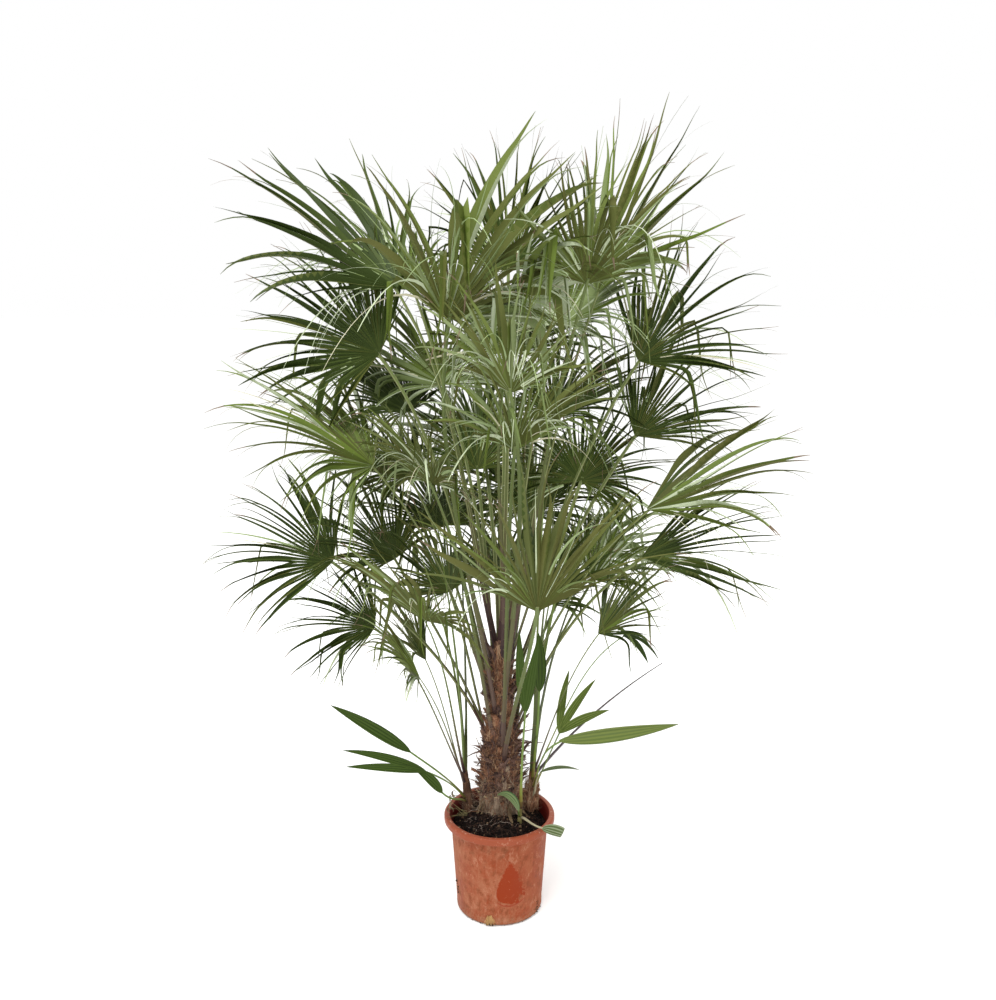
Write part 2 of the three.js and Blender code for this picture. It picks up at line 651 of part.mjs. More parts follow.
addNode('pot', pot, POT_FINISH);
addNode('soil', soil, SOIL_FINISH);
addNode('trunk', stems.trunk, STEM_FINISH);
addNode('sucker_left', stems.left, STEM_FINISH);
addNode('sucker_right', stems.right, STEM_FINISH);
addNode('sucker_front', stems.front, STEM_FINISH);
fans.forEach((fan, index) => {
  const young = index >= fans.length - YOUNG_LEAVES.length;
  const number = young ? index - (fans.length - YOUNG_LEAVES.length) : index;
  const name = `${young ? 'young_leaf' : 'frond'}_${String(number + 1).padStart(2, '0')}`;
  const whole = largestBody(bladeSolid(fan, fan.shapes).add(fan.stalk));
  addNode(name, whole, young ? YOUNG_FINISH : FROND_FINISH);
});

export default group;
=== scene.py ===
"""A European fan palm of several stems in a nursery pot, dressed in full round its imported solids.

Lengths are in millimetres until a mesh is made, which turns them into metres. The origin is the
centre of the pot's flat underside, +Z is up, the front is -Y and the right is +X. The fronds grow
by the rule of the solids, written again here and carried on to finer leaflets.
"""

import math
from types import SimpleNamespace

import bpy
import numpy as np
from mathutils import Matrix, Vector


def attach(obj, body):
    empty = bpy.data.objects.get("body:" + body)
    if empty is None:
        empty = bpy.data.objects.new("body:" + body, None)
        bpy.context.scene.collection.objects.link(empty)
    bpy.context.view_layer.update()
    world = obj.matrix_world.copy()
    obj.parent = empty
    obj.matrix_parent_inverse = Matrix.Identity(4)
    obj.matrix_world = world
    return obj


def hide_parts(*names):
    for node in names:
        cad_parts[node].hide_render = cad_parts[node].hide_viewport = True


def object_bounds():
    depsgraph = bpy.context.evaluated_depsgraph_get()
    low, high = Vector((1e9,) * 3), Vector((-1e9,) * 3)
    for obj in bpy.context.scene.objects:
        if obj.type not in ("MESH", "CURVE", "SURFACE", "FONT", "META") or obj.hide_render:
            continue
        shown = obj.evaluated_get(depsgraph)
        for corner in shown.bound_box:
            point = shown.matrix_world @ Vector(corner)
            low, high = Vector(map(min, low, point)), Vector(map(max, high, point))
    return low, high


MM = 0.001
UP = np.array([0.0, 0.0, 1.0])

# What keeps a divisor from being nil: the least reach, what is added to a vector, and an upward
# vector so far aslant that thin lines are seldom parallel to it.
TINY = 1e-6
NUDGE = 1e-9
ASLANT = UP + 0.01

# Camera: where the photograph was taken from.
CAMERA_PLACE = (-0.003, -2.22, 1.50)
CAMERA_PITCH = 13.5
CAMERA_SENSOR = 36.0
CAMERA_LENS = 38.48

# Studio: the floor's faint own light, which carries it to the surround's white, and the lamps'
# places, targets, sizes and powers.
FLOOR_GLOW = 0.12
FLOOR_HALF = 20000.0
LAMPS = (
    ("key", (-0.9, -1.6, 4.2), (0.0, 0.0, 1.0), 2.2, 150),
    ("front", (1.6, -4.0, 1.8), (0.0, 0.0, 0.9), 2.6, 18),
    ("back", (0.6, 3.4, 3.0), (0.0, 0.0, 1.1), 2.4, 40),
)
SURROUND_LIGHT = 1.0

# Pot, in millimetres, as in the solids.
POT_HEIGHT = 233
POT_FOOT_RADIUS = 98
POT_BODY_RADIUS = 111
POT_RIM_RADIUS = 125.5
POT_MOUTH_RADIUS = 114
POT_LIP_HEIGHT = 16
POT_WALL = 3
POT_FLOOR = 4
DRAIN_HOLES = 8
DRAIN_RADIUS = 7
DRAIN_CIRCLE = 76

# Soil, as in the solids.
SOIL_EDGE = 203
SOIL_CROWN = 228
SOIL_HEAP_POWER = 1.6
SOIL_WALL_GAP = 0.7
SOIL_FOOT = 4.3
SOIL_RADIUS = (
    POT_FOOT_RADIUS + (POT_BODY_RADIUS - POT_FOOT_RADIUS) * SOIL_EDGE / POT_HEIGHT - POT_WALL - SOIL_WALL_GAP
)

# Stems, as in the solids: foot, tip, radius at heights, heights of the stalks' feet and of the
# hubs that they carry, and how straight and slim the stalks are. The trunk's radius is less the
# old leaf bases, which are pieces of their own here.
STEMS = {
    "trunk": SimpleNamespace(
        foot=(2, 36, 170), tip=(2, 12, 640),
        girth=(
            (170, 40), (215, 44), (300, 43), (350, 39), (400, 32), (450, 25), (500, 21), (560, 17), (640, 12),
        ),
        feet=(310, 625), hubs=(650, 1450), straightness=0.3, slimness=1.0,
    ),
    "left": SimpleNamespace(
        foot=(-68, 46, 178), tip=(-80, 46, 312),
        girth=((178, 12), (205, 15), (250, 12), (312, 7)),
        feet=(232, 306), hubs=(318, 748), straightness=0.75, slimness=0.55,
    ),
    "right": SimpleNamespace(
        foot=(72, 52, 178), tip=(77, 50, 312),
        girth=((178, 12), (206, 17), (245, 15), (312, 8)),
        feet=(240, 306), hubs=(330, 694), straightness=0.75, slimness=0.55,
    ),
    "front": SimpleNamespace(
        foot=(45, -24, 190), tip=(49, -26, 262),
        girth=((190, 6), (222, 8), (262, 4)),
        feet=(234, 256), hubs=(246, 490), straightness=0.75, slimness=0.55,
    ),
}

# Tones of the leaves, from dark to light: their upper and under sides as they look by day. The light
# and pale ones are partly painted light: the highlight and sheen on leaflets that face the sky.
TONES = {
    "deep": ((49, 62, 24), (78, 86, 42)),
    "mid": ((63, 76, 33), (86, 93, 50)),
    "bronze": ((76, 81, 36), (88, 90, 46)),
    "olive": ((76, 87, 36), (88, 94, 46)),
    "lime": ((92, 108, 44), (98, 110, 54)),
    "light": ((116, 130, 82), (122, 134, 90)),
    "pale": ((174, 184, 154), (158, 168, 136)),
}
TONE_NAMES = list(TONES)
DRY_TIP = (112, 96, 78)

# Fronds, as in the solids: stem, hub x, y, z, reach, heading, lift, turn, spread, bend, and the
# tone that the photograph shows.
FRONDS = (
    ("trunk", -98, -200, 1361, 400, 325, 54, -30, 150, 1.1, "olive"),
    ("trunk", 167, -120, 1424, 310, 310, 62, -10, 165, 0.5, "olive"),
    ("trunk", 205, 60, 1400, 415, 16, 64, 20, 100, 0.3, "olive"),
    ("trunk", -212, 50, 1410, 430, 174, 38, -30, 130, 0.45, "deep"),
    ("trunk", -252, 40, 1275, 335, 186, 34, -60, 170, 0.5, "deep"),
    ("trunk", -190, 205, 1400, 270, 130, 45, 6, 200, 0.5, "olive"),
    ("trunk", 19, 150, 1440, 310, 85, 72, 0, 160, 0.3, "mid"),
    ("trunk", 32, -60, 1352, 330, 330, 46, 0, 210, 1.2, "light"),
    ("trunk", 21, -295, 1237, 255, 234, 62, 0, 145, 0.5, "olive"),
    ("trunk", 28, -215, 1116, 270, 288, 60, 0, 130, 0.7, "olive"),
    ("trunk", 293, 50, 1258, 335, 358, 45, 50, 135, 0.5, "deep"),
    ("trunk", 299, 110, 1086, 300, 12, 46, 50, 120, 0.5, "deep"),
    ("trunk", 183, 115, 984, 245, 55, 50, 25, 250, 0.5, "deep"),
    ("trunk", 73, 190, 895, 225, 78, 55, 0, 240, 0.5, "deep"),
    ("trunk", 307, -50, 958, 375, 350, 24, 25, 100, 0.5, "olive"),
    ("trunk", 303, -30, 850, 330, 356, 12, 40, 85, 0.4, "mid"),
    ("trunk", 71, -300, 821, 355, 275, 62, 0, 125, 0.4, "bronze"),
    ("right", 209, -80, 694, 235, 350, 46, 25, 115, 0.3, "mid"),
    ("trunk", -258, -60, 1054, 360, 190, 34, -22, 160, 0.9, "olive"),
    ("trunk", -360, 0, 829, 290, 180, 28, -45, 145, 0.5, "deep"),
    ("trunk", -234, 90, 809, 275, 158, 48, -15, 175, 0.5, "mid"),
    ("left", -277, 40, 666, 225, 182, 18, -45, 150, 0.5, "deep"),
    ("left", -150, -150, 748, 255, 225, 48, 0, 170, 0.5, "bronze"),
    ("left", -169, -100, 604, 205, 205, 48, -15, 130, 1.2, "olive"),
    ("left", -165, 40, 586, 200, 170, 58, 0, 110, 0.4, "mid"),
    ("trunk", -137, -120, 1029, 230, 222, 50, 0, 190, 0.9, "mid"),
    ("trunk", -200, 130, 1138, 265, 160, 42, -10, 190, 0.6, "deep"),
    ("trunk", -110, 60, 742, 235, 150, 58, -10, 170, 0.6, "mid"),
    ("trunk", 96, 65, 715, 225, 40, 60, 10, 170, 0.6, "deep"),
    ("trunk", 206, 40, 776, 240, 20, 50, 20, 150, 0.5, "lime"),
    ("trunk", -50, 160, 1000, 250, 110, 60, 0, 180, 0.5, "mid"),
)

# Young leaves, as in the solids, with their number of leaflets before the tone.
YOUNG_LEAVES = (
    ("left", -197, -40, 400, 205, 180, 36, -60, 22, 0.2, 1),
    ("left", -161, -70, 369, 190, 184, 17, -50, 30, 0.2, 2),
    ("left", -126, -80, 322, 80, 160, 50, -40, 30, 0.6, 1),
    ("right", 272, 0, 659, 95, 350, 10, 0, 110, 2.0, 4),
    ("right", 132, -40, 446, 150, 20, 55, 20, 90, 0.2, 3),
    ("right", 128, -110, 462, 265, 348, 12, 60, 15, 0.1, 1),
    ("right", 88, -40, 545, 140, 95, 84, 0, 28, 0.2, 1),
    ("right", 92, 0, 330, 100, 352, 24, 20, 26, 0.8, 1),
    ("front", 56, -90, 515, 185, 270, 86, 0, 34, 0.2, 2),
    ("front", 44, -52, 262, 70, 160, 60, 0, 36, 1.5, 1),
    ("front", 94, -96, 246, 52, 330, 2, 20, 44, 0.4, 1),
)

# Fronds behind the plant, by the rule of the solids.
BACK_FRONDS = 10
BACK_HEADINGS = (32, 148)
BACK_HEADING_STEP = 0.618
BACK_PHASE = 0.5
BACK_CENTRE_Y = 24
BACK_HEIGHTS = (700, 1330)
BACK_DISTANCES = (300, 180)
BACK_LIFTS = (22, 48)
BACK_REACH = 295
BACK_SPREAD = 215
BACK_BEND = 0.6
BACK_TONES = ("mid", "light", "deep", "lime")

# Blades, as in the solids, with this many fine leaflets in place of each wide one.
PALM_SHARE = 0.31
PALM_CUP = 0.12
LEAFLET_PITCH = 16
FINER = 3
LONG_FINER = 2
LONG_REACH = 370
OUTER_SHORTENING = 0.2
LENGTH_VARIETY = 0.12
BEND_VARIETY = 0.8
SWING_VARIETY = 0.3
UPRIGHT_STIFFNESS = 0.65
BEND_DRAW = 40
SWING_DRAW = 80

# Stalks, as in the solids.
STALK_FOOT = 7
STALK_NECK = 5
STALK_INSET = 0.5
STALK_LEAN = 0.25
STALK_FOOT_PULL = 0.36
STALK_NECK_PULL = 0.3
STALK_INTO_PALM = 0.12
GOLDEN_ANGLE = 137.508

# The steep sine wave behind every repeatable draw, as in the solids.
WAVE_PER_ROW = 127.1
WAVE_PER_COLUMN = 311.7
WAVE_STEEPNESS = 4375.85

# Ripples: how many waves, their rates about the one asked for, and what brings their mean near 1.
RIPPLE_WAVES = 7
RIPPLE_RATES = (0.7, 1.5)
RIPPLE_GAIN = 1.6

# The most of a side that a rounded corner takes.
ROUNDING_ROOM = 0.45


def chance(row, column):
    """Fraction of a steep sine wave of two counters, the same repeatable number as in the solids."""
    wave = np.sin(np.asarray(row) * WAVE_PER_ROW + np.asarray(column) * WAVE_PER_COLUMN) * WAVE_STEEPNESS
    return wave - np.floor(wave)


def vary(variety, row, column):
    """1 + variety * (chance - 1/2): a factor about 1."""
    return 1 + variety * (chance(row, column) - 0.5)


def unit(vectors):
    """Each vector divided by its length."""
    return vectors / np.linalg.norm(vectors, axis=-1, keepdims=True)


def square_to(vectors, axis):
    """What is left of each vector without its part along a unit axis: unit(v - axis (axis . v))."""
    return unit(vectors - axis * np.sum(vectors * axis, axis=-1, keepdims=True))


def mix(start, end, share):
    """start + (end - start) * share."""
    return start + (end - start) * share


def ramp(values, low, high):
    """3t² - 2t³ with t = (value - low) / (high - low), held between 0 and 1."""
    share = np.clip((values - low) / (high - low), 0, 1)
    return share * share * (3 - 2 * share)


def ripple(points, length, seed):
    """Mean of sine waves of about one length in random directions, from -1 to 1 over the points."""
    draw = np.random.default_rng(seed)
    directions = unit(draw.normal(size=(RIPPLE_WAVES, 3))) * draw.uniform(*RIPPLE_RATES, (RIPPLE_WAVES, 1))
    phases = draw.uniform(0, 2 * np.pi, RIPPLE_WAVES)
    turns = points @ directions.T * (2 * np.pi / length) + phases
    return np.sin(turns).mean(axis=-1) * RIPPLE_GAIN


def turned(vectors, axis, angle):
    """Vectors turned about a unit axis: v cos + (axis x v) sin + axis (axis . v)(1 - cos)."""
    along = np.sum(vectors * axis, axis=-1, keepdims=True) * axis
    return vectors * np.cos(angle) + np.cross(axis, vectors) * np.sin(angle) + along * (1 - np.cos(angle))


def rings_about(line, side, other, radius, corners):
    """Rings of evenly spaced corners about points: point + (side cos a + other sin a) * radius."""
    turn = np.radians(np.arange(corners) * 360 / corners)[:, None]
    around = side[..., None, :] * np.cos(turn) + other[..., None, :] * np.sin(turn)
    return line[..., None, :] + around * radius[..., None, None]


def joined(parts):
    """Several (points, faces, slots) in one, with each part's faces renumbered past the last."""
    points, faces, slots, first = [], [], [], 0
    for part_points, part_faces, part_slots in parts:
        points.append(part_points)
        faces.extend(block + first for block in part_faces)
        slots.extend(part_slots)
        first += len(part_points)
    return np.concatenate(points), faces, slots


def tubes(rings, slots=0):
    """Closed tubes from rings of points, as an array tube x station x column x 3.

    Face c of a step joins columns c and c + 1 of two stations, and each end is one flat face. The
    columns run anticlockwise seen from the last station. slots is a number, or an array that spreads
    to tube x step x column.
    """
    count, stations, columns = rings.shape[:3]
    numbers = np.arange(count * stations * columns).reshape(count, stations, columns)
    low, high = numbers[:, :-1], numbers[:, 1:]
    sides = np.stack([low, np.roll(low, -1, 2), np.roll(high, -1, 2), high], axis=-1)
    slots = np.broadcast_to(slots, sides.shape[:3])
    faces = [sides.reshape(-1, 4), numbers[:, 0, ::-1].copy(), numbers[:, -1].copy()]
    return rings.reshape(-1, 3), faces, [slots.reshape(-1), slots[:, 0, 0], slots[:, -1, 0]]


def lathe(profile, segments, dent=None):
    """A profile of radius and height turned about the z axis; radius 0 at either end is a pole.

    Point (i, j) is (r_j cos a_i, r_j sin a_i, z_j) with a_i = 2 pi i / segments, and dent(points)
    adds to it.
    """
    angle = np.linspace(0, 2 * np.pi, segments, endpoint=False)
    radius, height = np.array(profile, float)[1:-1].T
    ring = np.stack([
        radius[:, None] * np.cos(angle), radius[:, None] * np.sin(angle),
        np.broadcast_to(height[:, None], (len(radius), segments)),
    ], axis=-1)
    points = np.concatenate([ring.reshape(-1, 3), [[0, 0, profile[0][1]], [0, 0, profile[-1][1]]]])
    numbers = np.arange(len(radius) * segments).reshape(len(radius), segments)
    low, high = numbers[:-1], numbers[1:]
    sides = np.stack([low, np.roll(low, -1, 1), np.roll(high, -1, 1), high], axis=-1).reshape(-1, 4)
    first, last = len(points) - 2, len(points) - 1
    near = np.stack([np.roll(numbers[0], -1), numbers[0], np.full(segments, first)], axis=-1)
    far = np.stack([numbers[-1], np.roll(numbers[-1], -1), np.full(segments, last)], axis=-1)
    if dent is not None:
        points = points + dent(points)
    return points, [sides, near, far], [np.zeros(len(block), int) for block in (sides, near, far)]


def rounded(corners, radius, steps=5):
    """A line with each inner corner replaced by a curve through points a radius before and after it.

    The curve is (1-t)² before + 2t(1-t) corner + t² after.
    """
    corners = np.array(corners, float)
    line = [corners[0]]
    for before, corner, after in zip(corners[:-2], corners[1:-1], corners[2:]):
        back, ahead = before - corner, after - corner
        room = ROUNDING_ROOM * min(np.linalg.norm(back), np.linalg.norm(ahead))
        reach = min(radius, room)
        start = corner + unit(back) * reach
        end = corner + unit(ahead) * reach
        for t in np.linspace(0, 1, steps):
            line.append((1 - t) ** 2 * start + 2 * t * (1 - t) * corner + t ** 2 * end)
    line.append(corners[-1])
    return line


def piece(name, shape, finishes, nodes, sharp=40):
    """Makes a mesh object of (points, faces, slots) in metres, rides it and hides the solids that it
    replaces.
    """
    points, faces, slots = shape
    mesh = bpy.data.meshes.new(name)
    lengths = np.concatenate([np.full(len(block), block.shape[1]) for block in faces])
    corners = np.concatenate([block.reshape(-1) for block in faces])
    mesh.vertices.add(len(points))
    mesh.vertices.foreach_set("co", (points * MM).astype(np.float32).reshape(-1))
    mesh.loops.add(len(corners))
    mesh.polygons.add(len(lengths))
    mesh.polygons.foreach_set("loop_start", np.concatenate([[0], np.cumsum(lengths)[:-1]]).astype(np.int32))
    mesh.polygons.foreach_set("vertices", corners.astype(np.int32))
    mesh.polygons.foreach_set("material_index", np.concatenate(slots).astype(np.int32))
    mesh.polygons.foreach_set("use_smooth", np.ones(len(lengths), bool))
    mesh.update(calc_edges=True)
    mesh.set_sharp_from_angle(angle=math.radians(sharp))
    for finish in finishes:
        mesh.materials.append(finish)
    made = bpy.data.objects.new(name, mesh)
    bpy.context.scene.collection.objects.link(made)
    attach(made, "root")
    if nodes:
        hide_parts(*nodes)
    return made


# Finishes.


def tint(red, green, blue):
    """A colour as it looks, 0 to 255, as linear values: ((c + 0.055) / 1.055) ** 2.4 above the toe."""
    share = np.array([red, green, blue]) / 255
    linear = np.where(share <= 0.04045, share / 12.92, ((share + 0.055) / 1.055) ** 2.4)
    return (*linear.tolist(), 1.0)


class Value:
    """A number that changes over a surface: sums of such values add Math nodes."""

    def __init__(self, finish, socket):
        self.finish = finish
        self.socket = socket

    def math(self, operation, *values):
        """A Math node of an operation on values and plain numbers."""
        return self.finish.node("ShaderNodeMath", {"operation": operation}, dict(enumerate(values)))

    def __add__(self, other):
        return self.math("ADD", self, other)

    __radd__ = __add__

    def __sub__(self, other):
        return self.math("SUBTRACT", self, other)

    def __rsub__(self, other):
        return self.math("SUBTRACT", other, self)

    def __mul__(self, other):
        return self.math("MULTIPLY", self, other)

    __rmul__ = __mul__

    def __truediv__(self, other):
        return self.math("DIVIDE", self, other)

    def size(self):
        """The value without its sign."""
        return self.math("ABSOLUTE", self)

    def within(self, low, high):
        """0 below low, 1 above high and smooth between; low may be the greater, for the reverse."""
        settings = {"interpolation_type": "SMOOTHSTEP", "clamp": True}
        return self.finish.node("ShaderNodeMapRange", settings, {0: self, 1: low, 2: high, 3: 0.0, 4: 1.0})


class Finish:
    """One material, with helpers that add its nodes."""

    def __init__(self, name, colour, roughness, **plain):
        self.material = bpy.data.materials.new(name)
        self.material.use_nodes = True
        self.tree = self.material.node_tree
        self.shader = self.tree.nodes["Principled BSDF"]
        self.shader.inputs["Base Color"].default_value = tint(*colour)
        self.shader.inputs["Roughness"].default_value = roughness
        for label, value in plain.items():
            self.shader.inputs[label.replace("_", " ")].default_value = value

    def node(self, kind, settings, inputs, output=0):
        """Adds a node of a type, sets it, then fills its sockets with values or links."""
        made = self.tree.nodes.new(kind)
        for label, value in settings.items():
            setattr(made, label, value)
        for key, value in inputs.items():
            if isinstance(value, Value):
                self.tree.links.new(value.socket, made.inputs[key])
            else:
                made.inputs[key].default_value = value
        return Value(self, made.outputs[output])

    def place(self):
        """Object coordinates, in metres."""
        return self.node("ShaderNodeTexCoord", {}, {}, "Object")

    def axes(self, vector):
        """The three numbers of a vector."""
        split = self.node("ShaderNodeSeparateXYZ", {}, {0: vector})
        return [Value(self, output) for output in split.socket.node.outputs]

    def stretched(self, vector, scale):
        """A vector with each axis scaled: under 1, a pattern is drawn out along that axis."""
        return self.node("ShaderNodeMapping", {}, {"Vector": vector, "Scale": scale})

    def noise(self, vector, scale, detail=4.0, roughness=0.55):
        """Cloudy noise from 0 to 1, with blots about 1 / scale across."""
        inputs = {"Vector": vector, "Scale": scale, "Detail": detail, "Roughness": roughness}
        return self.node("ShaderNodeTexNoise", {}, inputs)

    def blend(self, mask, first, second):
        """A colour that goes from first to second as the mask goes from 0 to 1."""
        colours = [c if isinstance(c, Value) else tint(*c) for c in (first, second)]
        return self.node("ShaderNodeMix", {"data_type": "RGBA"}, {0: mask, 6: colours[0], 7: colours[1]}, 2)

    def layered(self, colour, *layers):
        """A colour with others laid over it in turn, each a mask and a colour."""
        for mask, over in layers:
            colour = self.blend(mask, colour, over)
        return colour

    def done(self, colour=None, roughness=None, bump=None, depth=0.001, strength=0.5):
        """Links what changes over the surface to the shader, and gives the material."""
        for label, value in (("Base Color", colour), ("Roughness", roughness)):
            if value is not None:
                self.tree.links.new(value.socket, self.shader.inputs[label])
        if bump is not None:
            inputs = {"Strength": strength, "Distance": depth, "Height": bump}
            normal = self.node("ShaderNodeBump", {}, inputs)
            self.tree.links.new(normal.socket, self.shader.inputs["Normal"])
        return self.material


def leaf_finish(name, colour, roughness):
    """A leaf side of one plain colour, with a faint grain that only its shine shows."""
    finish = Finish(name, colour, roughness, Specular_IOR_Level=0.12)
    grain = finish.noise(finish.place(), 900.0, 2.0)
    return finish.done(bump=grain, depth=0.0003, strength=0.25)


# How much the stretched noise of fibres and streaks is squeezed upwards: (1, 1, this).
FIBRE_STRETCH = 0.15

# Marks on the pot, in metres. The clean drop: the height of its point, its length, half width and
# place to the right, how ragged spots and blots make it, and how far its edge fades.
DROP_POINT = 0.168
DROP_LENGTH = 0.110
DROP_HALF_WIDTH = 0.045
DROP_ACROSS = 0.024
DROP_RAGGED = (0.030, 0.018)
DROP_EDGE = (0.0016, -0.0016)

# The lip of dust that ran down under the drop, the place wiped bare to its right, and the seam.
RIDGE_HEIGHT = 0.052
RIDGE_DIP = -12.0
RIDGE_ACROSS = 0.026
WIPED_ACROSS = 0.052
WIPED_HEIGHT = 0.022
SEAM_ACROSS = -0.0067

# Heights on the pot from where a band is absent to where it is full.
POT_BANDS = {
    "below_lip": (0.219, 0.205), "under_lip": (0.170, 0.200), "lip": (0.214, 0.218), "rim": (0.2285, 0.2305),
    "seam": (0.182, 0.176), "foot": (0.034, 0.0), "sole": (0.007, 0.003),
}
# The lip tint is the plastic painted a little lighter: a painted highlight.
POT_TINTS = SimpleNamespace(
    # inside: the clean inner plastic, painted darker still as painted shade within the pot.
    plastic=(138, 58, 32), inside=(84, 20, 13), dark=(132, 58, 28), light=(146, 68, 38), dust=(150, 94, 68),
    pale_mottle=(166, 112, 86), dark_mottle=(112, 54, 26), smudge=(108, 58, 32), arc=(112, 42, 24),
    drop=(132, 46, 10), ridge=(136, 48, 26), foot=(140, 106, 80), sole=(92, 72, 60), seam=(160, 98, 74),
    speck=(186, 136, 108), lip=(140, 72, 50), lip_speck=(172, 122, 98), rim_speck=(206, 168, 150),
)


def drop_mask(x, z, ragged):
    """The clean drop, 1 inside: its half width is s ** 0.9 * sqrt(1 - s ** 5) * DROP_HALF_WIDTH.

    s runs from 0 at its point to 1 at its foot. The right edge is the more ragged one.
    """
    fall = (DROP_POINT - z + ragged) / DROP_LENGTH
    s = fall.math("MINIMUM", fall.math("MAXIMUM", fall, 0.0), 1.0)
    half = s.math("POWER", s, 0.9) * s.math("SQRT", 1 - s.math("POWER", s, 5.0)) * DROP_HALF_WIDTH
    sideways = (x - DROP_ACROSS + ragged * (0.4 + 1.6 * x.within(0.02, 0.04))).size()
    return (sideways - half).within(*DROP_EDGE) * s.within(0.01, 0.05)


def pot_finish():
    """Terracotta-coloured plastic under dry dust, with a clean drop, a seam, scuffs and a dirty foot; the
    thinner dust on the right is painted shade, and the lighter lip a painted highlight.
    """
    tints = POT_TINTS
    finish = Finish("pot_plastic", tints.plastic, 0.5, Specular_IOR_Level=0.12)
    place = finish.place()
    x, y, z = finish.axes(place)
    broad = finish.noise(place, 16.0, 6.0, 0.6)
    streaks = finish.noise(finish.stretched(place, (1.0, 1.0, 0.3)), 90.0, 6.0, 0.65)
    spots = finish.noise(place, 150.0, 6.0, 0.75)
    blots = finish.noise(place, 48.0, 5.0, 0.65)
    mottle = finish.noise(finish.stretched(place, (1.0, 1.0, 0.55)), 70.0, 6.0, 0.75)
    arcs = finish.noise(finish.stretched(place, (0.35, 0.35, 3.0)), 130.0, 4.0)
    front = y.within(0.0, -0.02)
    # Less dust towards the right paints the pot's right side darker: painted shade.
    shaded_right = x.within(-0.02, 0.10)
    band = SimpleNamespace(**{name: z.within(*fade) for name, fade in POT_BANDS.items()})

    ragged = (spots - 0.5) * DROP_RAGGED[0] + (blots - 0.5) * DROP_RAGGED[1]
    glints = blots.within(0.56, 0.62) * spots.within(0.5, 0.6)
    drop = drop_mask(x, z, ragged) * front * (1 - glints * 0.35)
    dipped = z - RIDGE_HEIGHT + (x - DROP_ACROSS) * (x - DROP_ACROSS) * RIDGE_DIP + ragged * 0.25
    ridge = dipped.size().within(0.0032, 0.001) * (x - RIDGE_ACROSS).size().within(0.034, 0.024) * front
    beside = (x - WIPED_ACROSS).size().within(0.022, 0.010)
    wiped = beside * (z - WIPED_HEIGHT + ragged).size().within(0.017, 0.008) * front
    seam = (x - SEAM_ACROSS).size().within(0.0011, 0.0003) * front * band.seam * band.below_lip

    plain = band.below_lip * (1 - drop)
    dusty = (broad * 1.1 + streaks * 0.55 + spots * 0.45).within(0.82, 1.24) * plain * (1 - wiped * 0.8)
    colour = finish.layered(
        finish.blend(broad.within(0.3, 0.75), tints.dark, tints.light),
        (dusty * (1 - shaded_right * 0.5), tints.dust),
        (mottle.within(0.53, 0.63) * plain * 0.6, tints.pale_mottle),
        (mottle.within(0.46, 0.38) * plain * 0.6, tints.dark_mottle),
        (blots.within(0.56, 0.68) * plain * 0.55, tints.smudge),
        (arcs.within(0.62, 0.72) * band.under_lip * 0.6, tints.arc),
        (drop, tints.drop),
        (ridge * 0.7, tints.ridge),
        (band.foot * spots.within(0.38, 0.60) * 0.6, tints.foot),
        (band.sole * 0.7, tints.sole),
        (seam * 0.25, tints.seam),
        (spots.within(0.64, 0.70) * 0.6, tints.speck),
        # The lip, bare of dust, painted a little lighter than the plastic: a painted highlight.
        (band.lip * 0.75, tints.lip),
        (band.lip * (mottle + spots).within(1.08, 1.22) * 0.6, tints.lip_speck),
        (band.rim * spots.within(0.60, 0.66) * 0.8, tints.rim_speck),
    )
    bump = streaks * 0.3 + spots * 0.45 + seam * 1.2 + ridge * 1.5 + dusty * 0.3
    return finish.done(colour, 0.42 + dusty * 0.4, bump, 0.0006, 0.6)


def soil_finish(name, dark, light):
    """Moist soil: dark, with fine brown specks."""
    finish = Finish(name, dark, 0.95, Specular_IOR_Level=0.12)
    place = finish.place()
    specks = finish.noise(place, 420.0, 5.0, 0.7)
    patches = finish.noise(place, 40.0, 3.0)
    colour = finish.blend((specks * 0.7 + patches * 0.5).within(0.55, 0.85), dark, light)
    return finish.done(colour, None, specks, 0.003, 0.9)


def bark_finish(name, dark, light):
    """Matted fibre or old leaf base: lengthwise grain between two browns."""
    finish = Finish(name, dark, 0.9, Specular_IOR_Level=0.2)
    place = finish.place()
    grain = finish.noise(finish.stretched(place, (1.0, 1.0, FIBRE_STRETCH)), 420.0, 6.0, 0.7)
    patches = finish.noise(place, 35.0, 3.0)
    colour = finish.blend((grain * 0.8 + patches * 0.5).within(0.5, 0.85), dark, light)
    return finish.done(colour, None, grain, 0.0015, 0.8)


# The trunk's skin: the browns of its fibre and of its foot, and the heights, in metres, between
# which the foot's khaki sets in.
TRUNK_FIBRE = ((72, 50, 40), (168, 122, 94))
TRUNK_FOOT = ((70, 48, 34), (172, 144, 112))
TRUNK_FOOT_FADE = (0.285, 0.235)


def trunk_finish():
    """The trunk's skin: dark matted fibre with rusty patches, and a khaki foot with pale streaks."""
    finish = Finish("trunk_skin", (50, 30, 22), 0.95)
    place = finish.place()
    height = finish.axes(place)[2]
    grain = finish.noise(finish.stretched(place, (1.0, 1.0, FIBRE_STRETCH)), 420.0, 6.0, 0.7)
    patches = finish.noise(place, 45.0, 4.0)
    streaks = finish.noise(finish.stretched(place, (1.0, 1.0, 0.1)), 160.0, 4.0, 0.6)
    fibre = finish.blend((grain * 0.8 + patches * 0.7).within(0.6, 0.95), *TRUNK_FIBRE)
    khaki = finish.blend(streaks.within(0.46, 0.62), *TRUNK_FOOT)
    foot = (height + (patches - 0.5) * 0.09).within(*TRUNK_FOOT_FADE)
    return finish.done(finish.blend(foot * 0.9, fibre, khaki), None, grain, 0.0015, 0.8)


